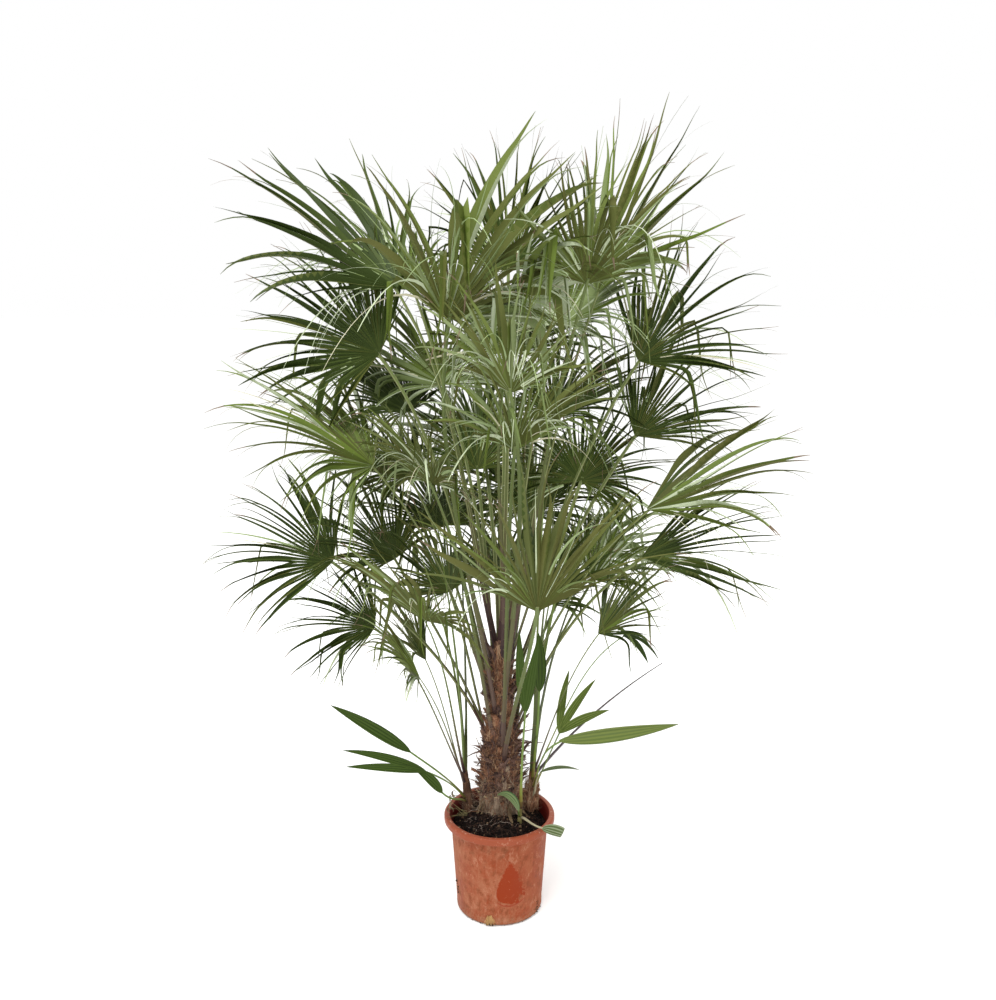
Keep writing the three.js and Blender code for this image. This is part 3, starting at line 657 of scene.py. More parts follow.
def floor_finish():
    """Pale matt studio floor with the faintest unevenness."""
    finish = Finish("studio_floor", (246, 246, 245), 0.9)
    finish.shader.inputs["Emission Color"].default_value = (1.0, 1.0, 1.0, 1.0)
    finish.shader.inputs["Emission Strength"].default_value = FLOOR_GLOW
    cloud = finish.noise(finish.place(), 1.5, 2.0)
    return finish.done(finish.blend(cloud, (245, 245, 244), (249, 249, 248)))


# Fans.


def axis_at(stem, height):
    """The point of a stem's straight axis at a height."""
    foot, tip = np.array(stem.foot, float), np.array(stem.tip, float)
    share = (np.asarray(height, float) - foot[2]) / (tip[2] - foot[2])
    return foot + (tip - foot) * share[..., None]


def girth_at(stem, height):
    """The radius of a stem at a height, straight between the listed ones."""
    heights, radii = np.array(stem.girth, float).T
    return np.interp(height, heights, radii)


def fan_of(index, row, leaflets, tone):
    """A frond's frame: middle points along its heading and lift, face is up without its middle
    part and turned about the middle, and side is face x middle."""
    stem, x, y, z, reach, heading, lift, turn, spread, bend = row[:10]
    azimuth, rise = math.radians(heading), math.radians(lift)
    middle = np.array([
        math.cos(azimuth) * math.cos(rise), math.sin(azimuth) * math.cos(rise), math.sin(rise),
    ])
    face = turned(unit(UP - middle * middle[2]), middle, math.radians(turn))
    return SimpleNamespace(
        index=index, stem=STEMS[stem], hub=np.array([x, y, z], float), reach=reach, bend=bend,
        middle=middle, face=face, side=np.cross(face, middle), spread=math.radians(spread),
        count=leaflets or round(spread / LEAFLET_PITCH), palm=PALM_SHARE * reach, tone=tone,
    )


def back_rows():
    """The fronds of the far side: heading by a golden step, distance and lift by rank."""
    rows = []
    for index in range(BACK_FRONDS):
        rank = index / (BACK_FRONDS - 1)
        heading = mix(*BACK_HEADINGS, (index * BACK_HEADING_STEP + BACK_PHASE) % 1)
        distance = mix(*BACK_DISTANCES, rank)
        azimuth = math.radians(heading)
        rows.append((
            "trunk", distance * math.cos(azimuth), BACK_CENTRE_Y + distance * math.sin(azimuth),
            mix(*BACK_HEIGHTS, rank), BACK_REACH, heading, mix(*BACK_LIFTS, rank), 0, BACK_SPREAD,
            BACK_BEND, BACK_TONES[index % len(BACK_TONES)],
        ))
    return rows


def all_fans():
    """The adult fans and the young leaves, numbered as in the solids."""
    adult = [fan_of(index, row, None, row[10]) for index, row in enumerate([*FRONDS, *back_rows()])]
    young = [
        fan_of(len(adult) + index, row, row[10], tone)
        for index, (row, (_, _, tone, _)) in enumerate(zip(YOUNG_LEAVES, YOUNG_LOOKS))
    ]
    return adult, young


def rays(fan, angle):
    """unit(middle cos + side sin + face cup) at each angle of the fan."""
    angle = np.asarray(angle)[..., None]
    return unit(fan.middle * np.cos(angle) + fan.side * np.sin(angle) + fan.face * PALM_CUP)


def across_rays(fan, angle):
    """side cos - middle sin at each angle of the fan, which is square to the ray there."""
    angle = np.asarray(angle)[..., None]
    return fan.side * np.cos(angle) - fan.middle * np.sin(angle)


# Fine leaflets: stations along them, and how far they are fused, in palms. Loose fans and a fan's
# outer leaflets, from these angles on, split deeper, and the free parts are wider in return.
FREE_STEPS = 16
PALM_STATIONS = (0.03, 0.2, 0.5, 0.8)
FUSED = (0.72, 1.2)
LOOSE_FUSED = 0.75
LOOSE_WIDENING = 0.8
LOOSE_SPREAD = math.radians(165)
OUTER_FROM = (1.0, 1.55)
OUTER_FUSED = 0.45
OUTER_BEND = 0.45

# Their section: the pleat's depth in half widths, the thickness at root and tip, the least half
# width, and the free part's width in palm widths, with the power that makes wide ones rare, its
# fold, and the share and width of thin ones.
KEEL_FOLD = 0.8
BLADE_THICKNESS = (1.1, 0.35)
THREAD = 0.35
FREE_WIDTH = (1.1, 2.95)
WIDTH_POWER = 1.7
FREE_FOLD = (0.55, 1.3)
THIN_SHARE = 0.15
THINNER = 0.4

# By which part of the free length the leaflet has its own direction, width and fold, and the power
# by which it narrows to its tip.
OWN_WAY_BY = 0.3
OWN_WIDTH_BY = 0.35
OWN_FOLD_BY = 0.4
NARROWING = 0.75

# How they stray, vary in length, droop at the tip, twist, hang, kink, split and dry.
STRAY_ASIDE = 0.22
STRAY_OVER = 0.34
TRIM = 0.14
TIP_DROOP = (0.0, 0.8)
STIFF_DROOP = 0.4
TWIST = 1.3
HANGING_SHARE = 0.136
HANGING_LEAST = 0.5
HANGING_BEND = (0.3, 1.2)
KINK = (2.5, 6.0)
KINK_FROM = (0.12, 0.6)
KINK_LENGTH = 0.12
SPLIT_FROM = (0.62, 0.86)
SPLIT_SPREAD = 0.5
DRY_SHARE = 0.45

# How far the tips' middle lines may pass the solids' box, and the least a leaflet is shortened to.
BOX_MARGIN = 12
LEAST_SHARE = 0.2

# Tones: the balance and spread of a leaflet's shift from its frond's own, how much lighter arching
# and outer ones are painted, as painted light from above, and how the second half differs from the
# first as painted shade across the pleat, up to these chances.
TONE_BALANCE = 0.45
TONE_SPREAD = 2.0
ARCH_FROM = 0.7
ARCH_MOST = 1.2
OUTER_LIGHTER = 0.5
PLEAT_SHADING_CHANCES = (0.45, 0.8)
PLEAT_SHADING_STEPS = ((-1, 1), 2)

# The counter at which each draw of a leaflet starts.
DRAWS = SimpleNamespace(
    fused=120, fold=220, droop=320, twist=420, split=520, tone=620, trim=720, aside=820, over=920,
    hang=1020, dry=1120, swing=1220, pleat_shading=1320, width=1420, kink=1520, thin=1620,
)


def leaflets_of(fan):
    """One row per fine leaflet of a fan: its rays, its own length, bend, swing, fold and droop."""
    finer = FINER if fan.reach < LONG_REACH else LONG_FINER
    count = fan.count * finer
    leaf = np.arange(count)
    wide = leaf // finer
    half = fan.spread / count / 2
    angle = (leaf + 0.5 - count / 2) * fan.spread / count
    ray = rays(fan, angle)
    edge = np.abs(angle) / (fan.spread / 2)

    def draw(column):
        return chance(fan.index, leaf + column)

    outer = ramp(np.abs(angle), *OUTER_FROM)
    loose = mix(LOOSE_FUSED if fan.spread < LOOSE_SPREAD else 1, OUTER_FUSED, outer)
    palm = fan.palm * mix(*FUSED, draw(DRAWS.fused)) * loose
    reach = fan.reach * (1 - OUTER_SHORTENING * edge ** 2) * vary(LENGTH_VARIETY, fan.index, wide)
    reach = reach * (1 - TRIM * draw(DRAWS.trim) ** 2)
    yielding = 1 - UPRIGHT_STIFFNESS * np.maximum(0, ray[:, 2])
    bend = fan.bend * yielding * vary(BEND_VARIETY, fan.index, wide + BEND_DRAW)
    bend = bend + OUTER_BEND * outer * draw(DRAWS.fold)
    hanging_share = HANGING_SHARE * (HANGING_LEAST + fan.bend + edge + outer) * finer / FINER
    hanging = draw(DRAWS.hang) < hanging_share
    bend = bend + np.where(hanging, mix(*HANGING_BEND, draw(DRAWS.droop)), 0)
    swing = SWING_VARIETY * (chance(fan.index, wide + SWING_DRAW) - 0.5)
    swing = swing + SWING_VARIETY * (draw(DRAWS.swing) - 0.5)
    thinner = np.where(draw(DRAWS.thin) < THIN_SHARE, THINNER, 1)
    return SimpleNamespace(
        hub=np.broadcast_to(fan.hub, (count, 3)), face=np.broadcast_to(fan.face, (count, 3)),
        ray=ray, low_ray=rays(fan, angle - half), high_ray=rays(fan, angle + half),
        across=across_rays(fan, angle),
        palm=palm, length=reach - palm, bend=bend, swing=swing,
        droop=mix(*TIP_DROOP, draw(DRAWS.droop) ** 2) * (STIFF_DROOP + fan.bend),
        aside=STRAY_ASIDE * (draw(DRAWS.aside) - 0.5), above=STRAY_OVER * (draw(DRAWS.over) - 0.5),
        kink=np.where(hanging, mix(*KINK, draw(DRAWS.kink)), 0), kink_from=mix(*KINK_FROM, draw(DRAWS.fold)),
        width=palm * math.sin(half), fold=mix(*FREE_FOLD, draw(DRAWS.fold)),
        free=mix(*FREE_WIDTH, draw(DRAWS.width) ** WIDTH_POWER) * thinner / loose ** LOOSE_WIDENING,
        twist=TWIST * (draw(DRAWS.twist) - 0.5) * 2, split=mix(*SPLIT_FROM, draw(DRAWS.split)),
        tone=tone_numbers(fan, leaf, bend, outer), dry=draw(DRAWS.dry) < DRY_SHARE,
        # Painted shade across the pleat: the step by which the second half's tone differs.
        pleat_shading=np.select([draw(DRAWS.pleat_shading) < chances for chances in PLEAT_SHADING_CHANCES], *PLEAT_SHADING_STEPS),
    )


def tone_numbers(fan, leaf, bend, outer):
    """Each leaflet's tone: the frond's own, some a step darker or lighter, arching and outer ones
    painted lighter as painted light from above."""
    own = TONE_NAMES.index(fan.tone)
    shift = (chance(fan.index, leaf + DRAWS.tone) - TONE_BALANCE) * TONE_SPREAD
    # Arching and outer leaflets are painted lighter: painted light from above.
    shift = shift + np.clip(bend - ARCH_FROM, 0, ARCH_MOST) + OUTER_LIGHTER * outer
    return np.clip(own + np.round(shift), 0, len(TONE_NAMES) - 1).astype(int)


def stacked(tables):
    """Several tables of equal fields as one."""
    fields = vars(tables[0])
    return SimpleNamespace(**{f: np.concatenate([getattr(t, f) for t in tables]) for f in fields})


def free_line(table):
    """Points and headings from the palm's edge to the tip, leaflet x station x 3.

    A step of the line goes along unit(ray + stray - up fall + across swing t), where the stray
    turns it a little aside and over as it leaves the palm and fall = bend t^1.5 + droop t^4, plus
    a sudden kink on the hanging ones.
    """
    t = (np.arange(FREE_STEPS) + 0.5) / FREE_STEPS
    fall = table.bend[:, None] * t ** 1.5 + table.droop[:, None] * t ** 4
    sharp = ramp(t[None], table.kink_from[:, None], table.kink_from[:, None] + KINK_LENGTH)
    fall = fall + table.kink[:, None] * sharp
    leave = ramp(t, 0, OWN_WAY_BY)
    aside = table.aside[:, None] * leave + table.swing[:, None] * t
    over = table.above[:, None] * leave
    heading = unit(
        table.ray[:, None] - fall[..., None] * UP
        + table.across[:, None] * aside[..., None] + table.face[:, None] * over[..., None],
    )
    steps = heading * (table.length / FREE_STEPS)[:, None, None]
    start = table.hub + table.ray * table.palm[:, None] - table.face * (table.width * KEEL_FOLD)[:, None]
    points = np.concatenate([start[:, None], start[:, None] + np.cumsum(steps, axis=1)], axis=1)
    between = unit(heading[:, 1:] + heading[:, :-1])
    return points, np.concatenate([heading[:, :1], between, heading[:, -1:]], axis=1)


def held(start, points, box):
    """The share, up to 1, by which a line from its start must shrink to stay in a box, for each
    side the room on that side divided by the line's reach that way."""
    low, high = (np.array(corner) / MM for corner in box)
    least, most = (points - start).min(axis=1), (points - start).max(axis=1)
    shares = np.concatenate([
        (low - BOX_MARGIN - start[:, 0]) / np.minimum(least, -TINY),
        (high + BOX_MARGIN - start[:, 0]) / np.maximum(most, TINY),
    ], axis=-1)
    return np.clip(shares.min(axis=-1), LEAST_SHARE, 1)


def leaflet_halves(table):
    """Both halves of every leaflet as wedge-shaped strips, leaflet x 2 x station x 3 corners x 3.

    Over the palm the outer edges are straight rays from the hub that neighbours share, and the
    keel lies under the middle ray by fold * half width. Past it the half width goes over to the
    leaflet's own and narrows as (1 - t) ** NARROWING, the fold changes to the leaflet's own and the
    strip twists with t squared. Where a sharp kink would turn the strip's side over, it keeps its
    way. Past the split the two halves part with what is left to the power 1.5.
    """
    points, heading = free_line(table)
    t = np.linspace(0, 1, FREE_STEPS + 1)
    flat = square_to(table.across[:, None], heading)
    turns = np.where(np.sum(flat[:, 1:] * flat[:, :-1], axis=-1) < 0, -1, 1)
    flat[:, 1:] *= np.cumprod(turns, axis=1)[..., None]
    upright = np.cross(heading, flat)
    angle = (table.twist[:, None] * t ** 2)[..., None]
    across = flat * np.cos(angle) + upright * np.sin(angle)
    over = upright * np.cos(angle) - flat * np.sin(angle)
    start_fold = math.atan(KEEL_FOLD)
    fold = mix(start_fold, table.fold[:, None], ramp(t, 0, OWN_FOLD_BY)[None])[..., None]
    narrow = (1 - t) ** NARROWING * mix(1, table.free[:, None], ramp(t, 0, OWN_WIDTH_BY))
    width = np.maximum(table.width[:, None] / math.cos(start_fold) * narrow, THREAD)[..., None]
    past = np.clip(t - table.split[:, None], 0, 1)[..., None]
    gap = across * (past ** 1.5 * SPLIT_SPREAD * table.length[:, None, None])
    thick = mix(*BLADE_THICKNESS, t)[None, :, None]

    shares = np.array(PALM_STATIONS)[None, :, None]
    near = table.palm[:, None, None] * shares
    keel_depth = table.width[:, None, None] * KEEL_FOLD * shares
    near_keel = table.hub[:, None] + table.ray[:, None] * near - table.face[:, None] * keel_depth
    near_edges = [table.hub[:, None] + ray[:, None] * near for ray in (table.low_ray, table.high_ray)]
    below = table.face[:, None] * (BLADE_THICKNESS[0] * np.minimum(1, shares * 2))

    halves = []
    for sign, near_edge in zip((-1, 1), near_edges):
        keel = points + gap * sign
        edge = keel + (across * np.cos(fold) * sign + over * np.sin(fold)) * width
        low = keel - over * thick
        top = np.concatenate([near_keel, keel], axis=1)
        out = np.concatenate([near_edge, edge], axis=1)
        bottom = np.concatenate([near_keel - below, low], axis=1)
        corners = [top, out, bottom] if sign < 0 else [bottom, out, top]
        halves.append(np.stack(corners, axis=2))
    return np.stack(halves, axis=1)


def blade_shape(table):
    """All leaflets of a table as closed strips, with the tone of each side as its slot.

    The second half of a leaflet is painted a step darker or lighter than the first: painted shade
    and painted highlight across the pleat.
    """
    halves = leaflet_halves(table)
    count, _, stations = halves.shape[:3]
    last = len(TONE_NAMES) - 1
    # The second half's tone: painted shade or painted highlight across the pleat.
    other = table.tone + table.pleat_shading
    other = np.where(other < 0, 1, np.where(other > last, last - 1, other))
    slots = np.empty((count, 2, stations - 1, 3), int)
    slots[:, 0] = np.stack([table.tone * 2, table.tone * 2 + 1, table.tone * 2 + 1], axis=-1)[:, None]
    slots[:, 1] = np.stack([other * 2 + 1, other * 2, other * 2 + 1], axis=-1)[:, None]
    slots[table.dry, :, -2:] = 2 * len(TONE_NAMES)
    return tubes(halves.reshape(-1, stations, 3, 3), slots.reshape(-1, stations - 1, 3))


def make_blades(fans, nodes_of, box):
    """The fronds' blades in three joined pieces by height, each leaflet in its own tone."""
    finishes = []
    for name, (upper, under) in TONES.items():
        finishes.append(leaf_finish("leaf_upper_" + name, upper, 0.5))
        finishes.append(leaf_finish("leaf_under_" + name, under, 0.6))
    finishes.append(leaf_finish("leaf_dry_tip", DRY_TIP, 0.8))
    ordered = sorted(fans, key=lambda fan: fan.hub[2])
    third = math.ceil(len(ordered) / 3)
    for number, name in enumerate(("blades_low", "blades_middle", "blades_top")):
        group = ordered[number * third:(number + 1) * third]
        table = stacked([leaflets_of(fan) for fan in group])
        points = free_line(table)[0]
        table.length = table.length * held(points[:, :1], points, box)
        piece(name, blade_shape(table), finishes, [nodes_of[fan.index] for fan in group], 35)


# Strands: the narrow light strips that come loose from the blades' edges and hang. How many a
# fan of bend 1 high in the crown has, their angles in spreads, starts in palms, ends in reaches,
# bend, swing and half width, with the powers that make long bends and wide ones rare.
STRANDS = 24
STRAND_STEPS = 12
STRAND_ANGLES = 0.52
STRAND_START = (0.35, 1.0)
STRAND_REACH = (0.45, 0.95)
STRAND_BEND = (0.3, 2.6)
STRAND_BEND_POWER = 1.5
STRAND_SWING = 0.5
STRAND_WIDTH = (0.6, 4.2)
STRAND_WIDTH_POWER = 3
STRAND_TAPER = 0.6
STRAND_LEAST = 0.15
STRAND_HEIGHTS = (700, 1100)
STRAND_COLOURS = ((172, 182, 150), (134, 150, 104), (94, 108, 60), (186, 182, 154))
STRAND_MIXTURE = (0.3, 0.35, 0.25, 0.1)


def strand_shape(fans, box):
    """Three-sided strips along unit(ray - up bend t + across swing t), thinning as
    (1 - t) ** STRAND_TAPER."""
    draw = np.random.default_rng(41)
    counts = [
        round(STRANDS * (0.4 + fan.bend) * (0.5 + ramp(fan.hub[2], *STRAND_HEIGHTS))) for fan in fans
    ]
    count = sum(counts)
    own = SimpleNamespace(**{
        name: np.repeat(np.array([getattr(fan, name) for fan in fans]), counts, axis=0)
        for name in ("spread", "hub", "middle", "side", "face", "reach", "palm")
    })
    angle = draw.uniform(-STRAND_ANGLES, STRAND_ANGLES, count) * own.spread
    ray, across = rays(own, angle), across_rays(own, angle)
    start = own.palm * draw.uniform(*STRAND_START, count)
    length = own.reach * draw.uniform(*STRAND_REACH, count) - start
    bend = mix(*STRAND_BEND, draw.uniform(0, 1, count) ** STRAND_BEND_POWER)
    swing = draw.uniform(-STRAND_SWING, STRAND_SWING, count)
    t = np.linspace(0, 1, STRAND_STEPS)
    fall = (bend[:, None] * t)[..., None] * UP
    heading = unit(ray[:, None] - fall + across[:, None] * (swing[:, None] * t)[..., None])
    steps = heading[:, 1:] * (length / (STRAND_STEPS - 1))[:, None, None]
    root = (own.hub + ray * start[:, None] - own.face * 2)[:, None]
    line = np.concatenate([root, root + np.cumsum(steps, axis=1)], axis=1)
    line = root + (line - root) * held(root, line, box)[:, None, None]
    wide = square_to(across[:, None], heading)
    over = np.cross(heading, wide)
    taper = np.maximum((1 - t) ** STRAND_TAPER, STRAND_LEAST)[None, :, None]
    width = mix(*STRAND_WIDTH, draw.uniform(0, 1, count) ** STRAND_WIDTH_POWER)[:, None, None] * taper
    rings = np.stack([line + wide * width, line + over * width * 0.5, line - wide * width], axis=2)
    tone = draw.choice(len(STRAND_COLOURS), count, p=STRAND_MIXTURE)
    return tubes(rings, tone[:, None, None])


def make_strands(fans, box):
    """The loose strips of all fans in one piece, in four light tones."""
    finishes = [leaf_finish("strand_%d" % number, c, 0.55) for number, c in enumerate(STRAND_COLOURS)]
    piece("blade_strands", strand_shape(fans, box), finishes, [], 60)


# Stalks: stations along them, closer together at the foot, and their section, flat above and round
# below, with the two sides of it that are light edges, and the share of the length they start at.
STALK_STATIONS = 26
STATION_POWER = 1.25
STALK_PROFILE = np.array([
    (1.0, 0.1), (0.6, 0.36), (0.0, 0.26), (-0.6, 0.36), (-1.0, 0.1), (-0.74, -0.42), (0.0, -0.74),
    (0.74, -0.42),
])
STALK_EDGES = [0, 3]
EDGE_FROM = 0.3

# How much slimmer they are than the solids', the half width from which their depth grows no more,
# how far they bow aside, and the flare: its share, the length that keeps it and that it fades over.
STALK_SLIMMING = 0.72
DEEPEST = 7
STALK_BOW = 26
BOW_DRAW = 900
FLARE = 0.9
FLARE_KEPT = 18
FLARE_LENGTH = 38

# Stalks of fans in front leave the trunk lower, by how far to the front their hubs lie.
FRONT_DROP = 170
FRONT_FROM = (40, 220)
LOWEST_FOOT = 322

# Thorns: how many along an edge, between which shares of the stalk, how long, thick and blunt, how
# far out their roots lie in half widths, and how much they point out and forward.
THORNS = 26
THORN_SHARES = (0.14, 0.93)
THORN_LENGTH = 3.2
THORN_VARIETY = 0.8
THORN_RADIUS = 0.7
THORN_BLUNTNESS = 0.12
THORN_ROOT = 0.9
THORN_OUT = 0.85
THORN_FORWARD = 0.6

# Skins: the steps that a stalk's colour goes through, the shares of its length where the tones lie,
# the power that crowds the steps at the foot, and how far a stalk's own steps are shifted.
STALK_TONE_STEPS = 9
STALK_TONE_SHARES = (0, 0.12, 0.26, 0.5, 1.0)
STALK_TONE_POWER = 1.6
STALK_TONE_SHIFT = 0.16
STALK_EDGE = (128, 132, 88)
DRY_STALK = (158, 150, 122)
THORN_COLOUR = (122, 120, 74)
STALK_TONES = ((52, 34, 35), (84, 65, 57), (86, 80, 52), (84, 94, 50), (98, 112, 62))
YOUNG_STALK_TONES = ((72, 48, 38), (120, 112, 50), (116, 128, 56), (104, 124, 60), (98, 120, 58))

# Stalks without a blade, which end inside the crown but for the first: root, tip, how far they
# bulge up and in, and the number of the colour. Below: how far the roots stray from those, the
# stations and radii, and the bend that a bulge of 1 takes.
BARE_RIGHT = (77, 50, 290)
BARE_LEFT = (-80, 46, 290)
BARE_STALKS = (
    (BARE_RIGHT, (361, 0, 595), 0.1, 0),
    (BARE_RIGHT, (152, -60, 900), 0.1, 1),
    (BARE_RIGHT, (112, -120, 980), 0.06, 2),
    (BARE_RIGHT, (196, -20, 1000), 0.12, 1),
    (BARE_RIGHT, (140, 40, 860), 0.08, 3),
    (BARE_RIGHT, (94, -80, 1060), 0.05, 3),
    (BARE_RIGHT, (236, 30, 900), 0.14, 2),
    (BARE_LEFT, (-122, -60, 860), 0.08, 1),
    (BARE_LEFT, (-186, -30, 900), 0.12, 3),
    (BARE_LEFT, (-92, 20, 980), 0.05, 2),
)
BARE_STRAY = (4, 4, 2)
BARE_STATIONS = 12
BARE_RADII = (4.2, 5.0)
BARE_BEND = 1.6
BARE_COLOURS = ((84, 74, 76), (96, 112, 52), (84, 92, 56), (108, 122, 66))


def stalk_curves(fans):
    """The stalks' middle lines as four control points each: foot inside the stem, a pull up and
    out of it, a pull back from the hub, and a point just inside the palm."""
    curves = []
    for fan in fans:
        stem = fan.stem
        share = np.clip((fan.hub[2] - stem.hubs[0]) / (stem.hubs[1] - stem.hubs[0]), 0, 1)
        height = mix(*stem.feet, share)
        if stem is STEMS["trunk"]:
            height = max(LOWEST_FOOT, height - FRONT_DROP * ramp(-fan.hub[1], *FRONT_FROM))
        axis = axis_at(stem, height)
        outward = unit((fan.hub - axis) * (1, 1, 0))
        foot = axis + outward * girth_at(stem, height) * STALK_INSET
        run = np.linalg.norm(fan.hub - foot)
        chord = unit(fan.hub - foot)
        arrival = unit(chord + fan.middle)
        sideways = unit(np.cross(chord, outward))
        start = unit(mix(unit(outward * STALK_LEAN + UP), chord, stem.straightness))
        bow = sideways * STALK_BOW * (chance(fan.index, BOW_DRAW) - 0.5) * stem.slimness
        curves.append([
            foot,
            foot + start * run * STALK_FOOT_PULL + bow,
            fan.hub - arrival * run * STALK_NECK_PULL + bow,
            fan.hub + fan.middle * fan.palm * STALK_INTO_PALM,
        ])
    return np.array(curves)


def bezier(curves, t):
    """Points and unit headings of cubic curves at shares t: curve x station x 3."""
    a, b, c, d = (curves[:, i, None] for i in range(4))
    t = t[None, :, None]
    points = a * (1 - t) ** 3 + 3 * b * t * (1 - t) ** 2 + 3 * c * t ** 2 * (1 - t) + d * t ** 3
    heading = 3 * (b - a) * (1 - t) ** 2 + 6 * (c - b) * t * (1 - t) + 3 * (d - c) * t ** 2
    return points, unit(heading)


def stalk_frames(fans, t):
    """Centre, heading, upper side and half width of each stalk at shares t."""
    curves = stalk_curves(fans)
    centre, heading = bezier(curves, t)
    inward = -unit((curves[:, 1] - curves[:, 0]) * (1, 1, 0) + NUDGE)
    face = np.array([fan.face for fan in fans])
    over = square_to(mix(inward[:, None], face[:, None], t[None, :, None]), heading)
    slim = np.array([fan.stem.slimness for fan in fans])[:, None]
    run = np.linalg.norm(curves[:, 3] - curves[:, 0], axis=-1)[:, None]
    flare = 1 + FLARE * np.exp(-np.maximum(run * t - FLARE_KEPT, 0) / FLARE_LENGTH) * slim
    radius = mix(STALK_FOOT, STALK_NECK, t)[None] * STALK_SLIMMING * slim * flare
    return centre, heading, over, radius


def bare_stalks():
    """Stalks from a root to a tip whose middle lies off the chord by the bulge, upwards and inwards."""
    draw = np.random.default_rng(91)
    roots, tips, bulges, colours = (np.array(column, float) for column in zip(*BARE_STALKS))
    roots = roots + draw.normal(0, BARE_STRAY, roots.shape)
    chord = tips - roots
    length = np.linalg.norm(chord, axis=-1)
    inward = unit(UP - chord / length[:, None] * (chord[:, 2] / length)[:, None])
    bend = -inward * bulges[:, None] * BARE_BEND
    heading = chord / length[:, None] - bend
    radius = draw.uniform(*BARE_RADII, len(roots))
    rings = hair_tubes(roots, heading, bend, length, radius, BARE_STATIONS)
    return tubes(rings, colours.astype(int)[:, None, None])


def stalk_finish(name, colour):
    """A stalk's skin: one plain colour with lengthwise grain in its relief."""
    finish = Finish(name, colour, 0.55, Specular_IOR_Level=0.25)
    grain = finish.noise(finish.stretched(finish.place(), (1.0, 1.0, 0.1)), 500.0, 3.0)
    return finish.done(bump=grain, depth=0.0006, strength=0.4)


def graded_finishes(age, tones):
    """Stalk skins in even steps between the tones at their shares of the stalk's length."""
    steps = (np.arange(STALK_TONE_STEPS) + 0.5) / STALK_TONE_STEPS
    steps = steps ** STALK_TONE_POWER
    channels = [np.interp(steps, STALK_TONE_SHARES, channel) for channel in np.array(tones).T]
    return [
        stalk_finish("stalk_%s_%d" % (age, number), tuple(colour))
        for number, colour in enumerate(np.stack(channels, axis=-1).tolist())
    ]


def make_stalks(adult, young):
    """Stalks with a flat upper and a round under side, flared where they clasp the stem, and on
    the adult ones a row of small thorns along each edge."""
    t = np.linspace(0, 1, STALK_STATIONS) ** STATION_POWER
    middle = ((t[1:] + t[:-1]) / 2) ** (1 / STALK_TONE_POWER)
    x, y = (column[:, None] for column in STALK_PROFILE.T)
    parts = []
    for fans, first in ((adult, 0), (young, STALK_TONE_STEPS)):
        centre, heading, over, radius = stalk_frames(fans, t)
        wide = np.cross(over, heading)
        depth = np.minimum(1, DEEPEST / radius)[:, :, None, None]
        rings = centre[:, :, None] + radius[:, :, None, None] * (
            wide[:, :, None] * x + over[:, :, None] * y * depth
        )
        numbers = np.array([fan.index for fan in fans])[:, None]
        share = middle + STALK_TONE_SHIFT * (chance(numbers, BOW_DRAW + 1) - 0.5)
        tone = np.clip(share * STALK_TONE_STEPS, 0, STALK_TONE_STEPS - 1).astype(int) + first
        slots = np.repeat(tone[..., None], len(STALK_PROFILE), axis=-1)
        if fans is adult:
            slots[..., STALK_EDGES] = np.where(share > EDGE_FROM, 2 * STALK_TONE_STEPS, tone)[..., None]
        else:
            slots[[fan.tone == "dusty" for fan in fans]] = 2 * STALK_TONE_STEPS + 1
        parts.append(tubes(rings, slots))
    finishes = graded_finishes("adult", STALK_TONES) + graded_finishes("young", YOUNG_STALK_TONES)
    finishes += [stalk_finish("stalk_edge", STALK_EDGE), stalk_finish("stalk_dry", DRY_STALK)]
    piece("stalks", joined(parts), finishes, [], 50)
    skins = [stalk_finish("stalk_bare_%d" % number, colour) for number, colour in enumerate(BARE_COLOURS)]
    piece("bare_stalks", bare_stalks(), skins, [], 60)
    piece("stalk_thorns", thorn_shape(adult), [stalk_finish("thorn", THORN_COLOUR)], [], 20)


def thorn_shape(fans):
    """Thorns: three-sided spikes at even steps along both edges, pointing out and forward."""
    t = np.linspace(*THORN_SHARES, THORNS)
    centre, heading, over, radius = stalk_frames(fans, t)
    wide = np.cross(over, heading)
    numbers = np.arange(len(fans))[:, None]
    spikes = []
    for sign in (-1, 1):
        root = centre + wide * (radius * THORN_ROOT * sign)[..., None]
        point = unit(wide * sign * THORN_OUT + heading * THORN_FORWARD)
        length = THORN_LENGTH * vary(THORN_VARIETY, numbers, np.arange(THORNS) + sign * THORNS)
        side = square_to(heading, point)
        ends = np.stack([root, root + point * length[..., None]], axis=-2)
        thick = np.broadcast_to(THORN_RADIUS * np.array([1, THORN_BLUNTNESS]), ends.shape[:-1])
        other = np.cross(point, side)
        spikes.append(rings_about(ends, side[..., None, :], other[..., None, :], thick, 3))
    return tubes(np.concatenate(spikes).reshape(-1, 2, 3, 3))


# Young leaves: broad blades with this many pleats across, their depth, how much the blade's edges
# rise, in half widths, its thickness and the share of it at the edges, and how it bends and sways.
PLEATS = 4
PLEAT_DEPTH = 0.8
EDGE_RISE = 0.22
YOUNG_STATIONS = 24
YOUNG_THICKNESS = 0.7
EDGE_THICKNESS = 0.3
YOUNG_BEND = 0.8
YOUNG_SWAY = 0.35

# Their outline: the two powers about its sine wave, and what of the wave is never passed.
OUTLINE_START = 0.75
OUTLINE_FULLNESS = 0.8
OUTLINE_SHARES = (0.004, 0.996)

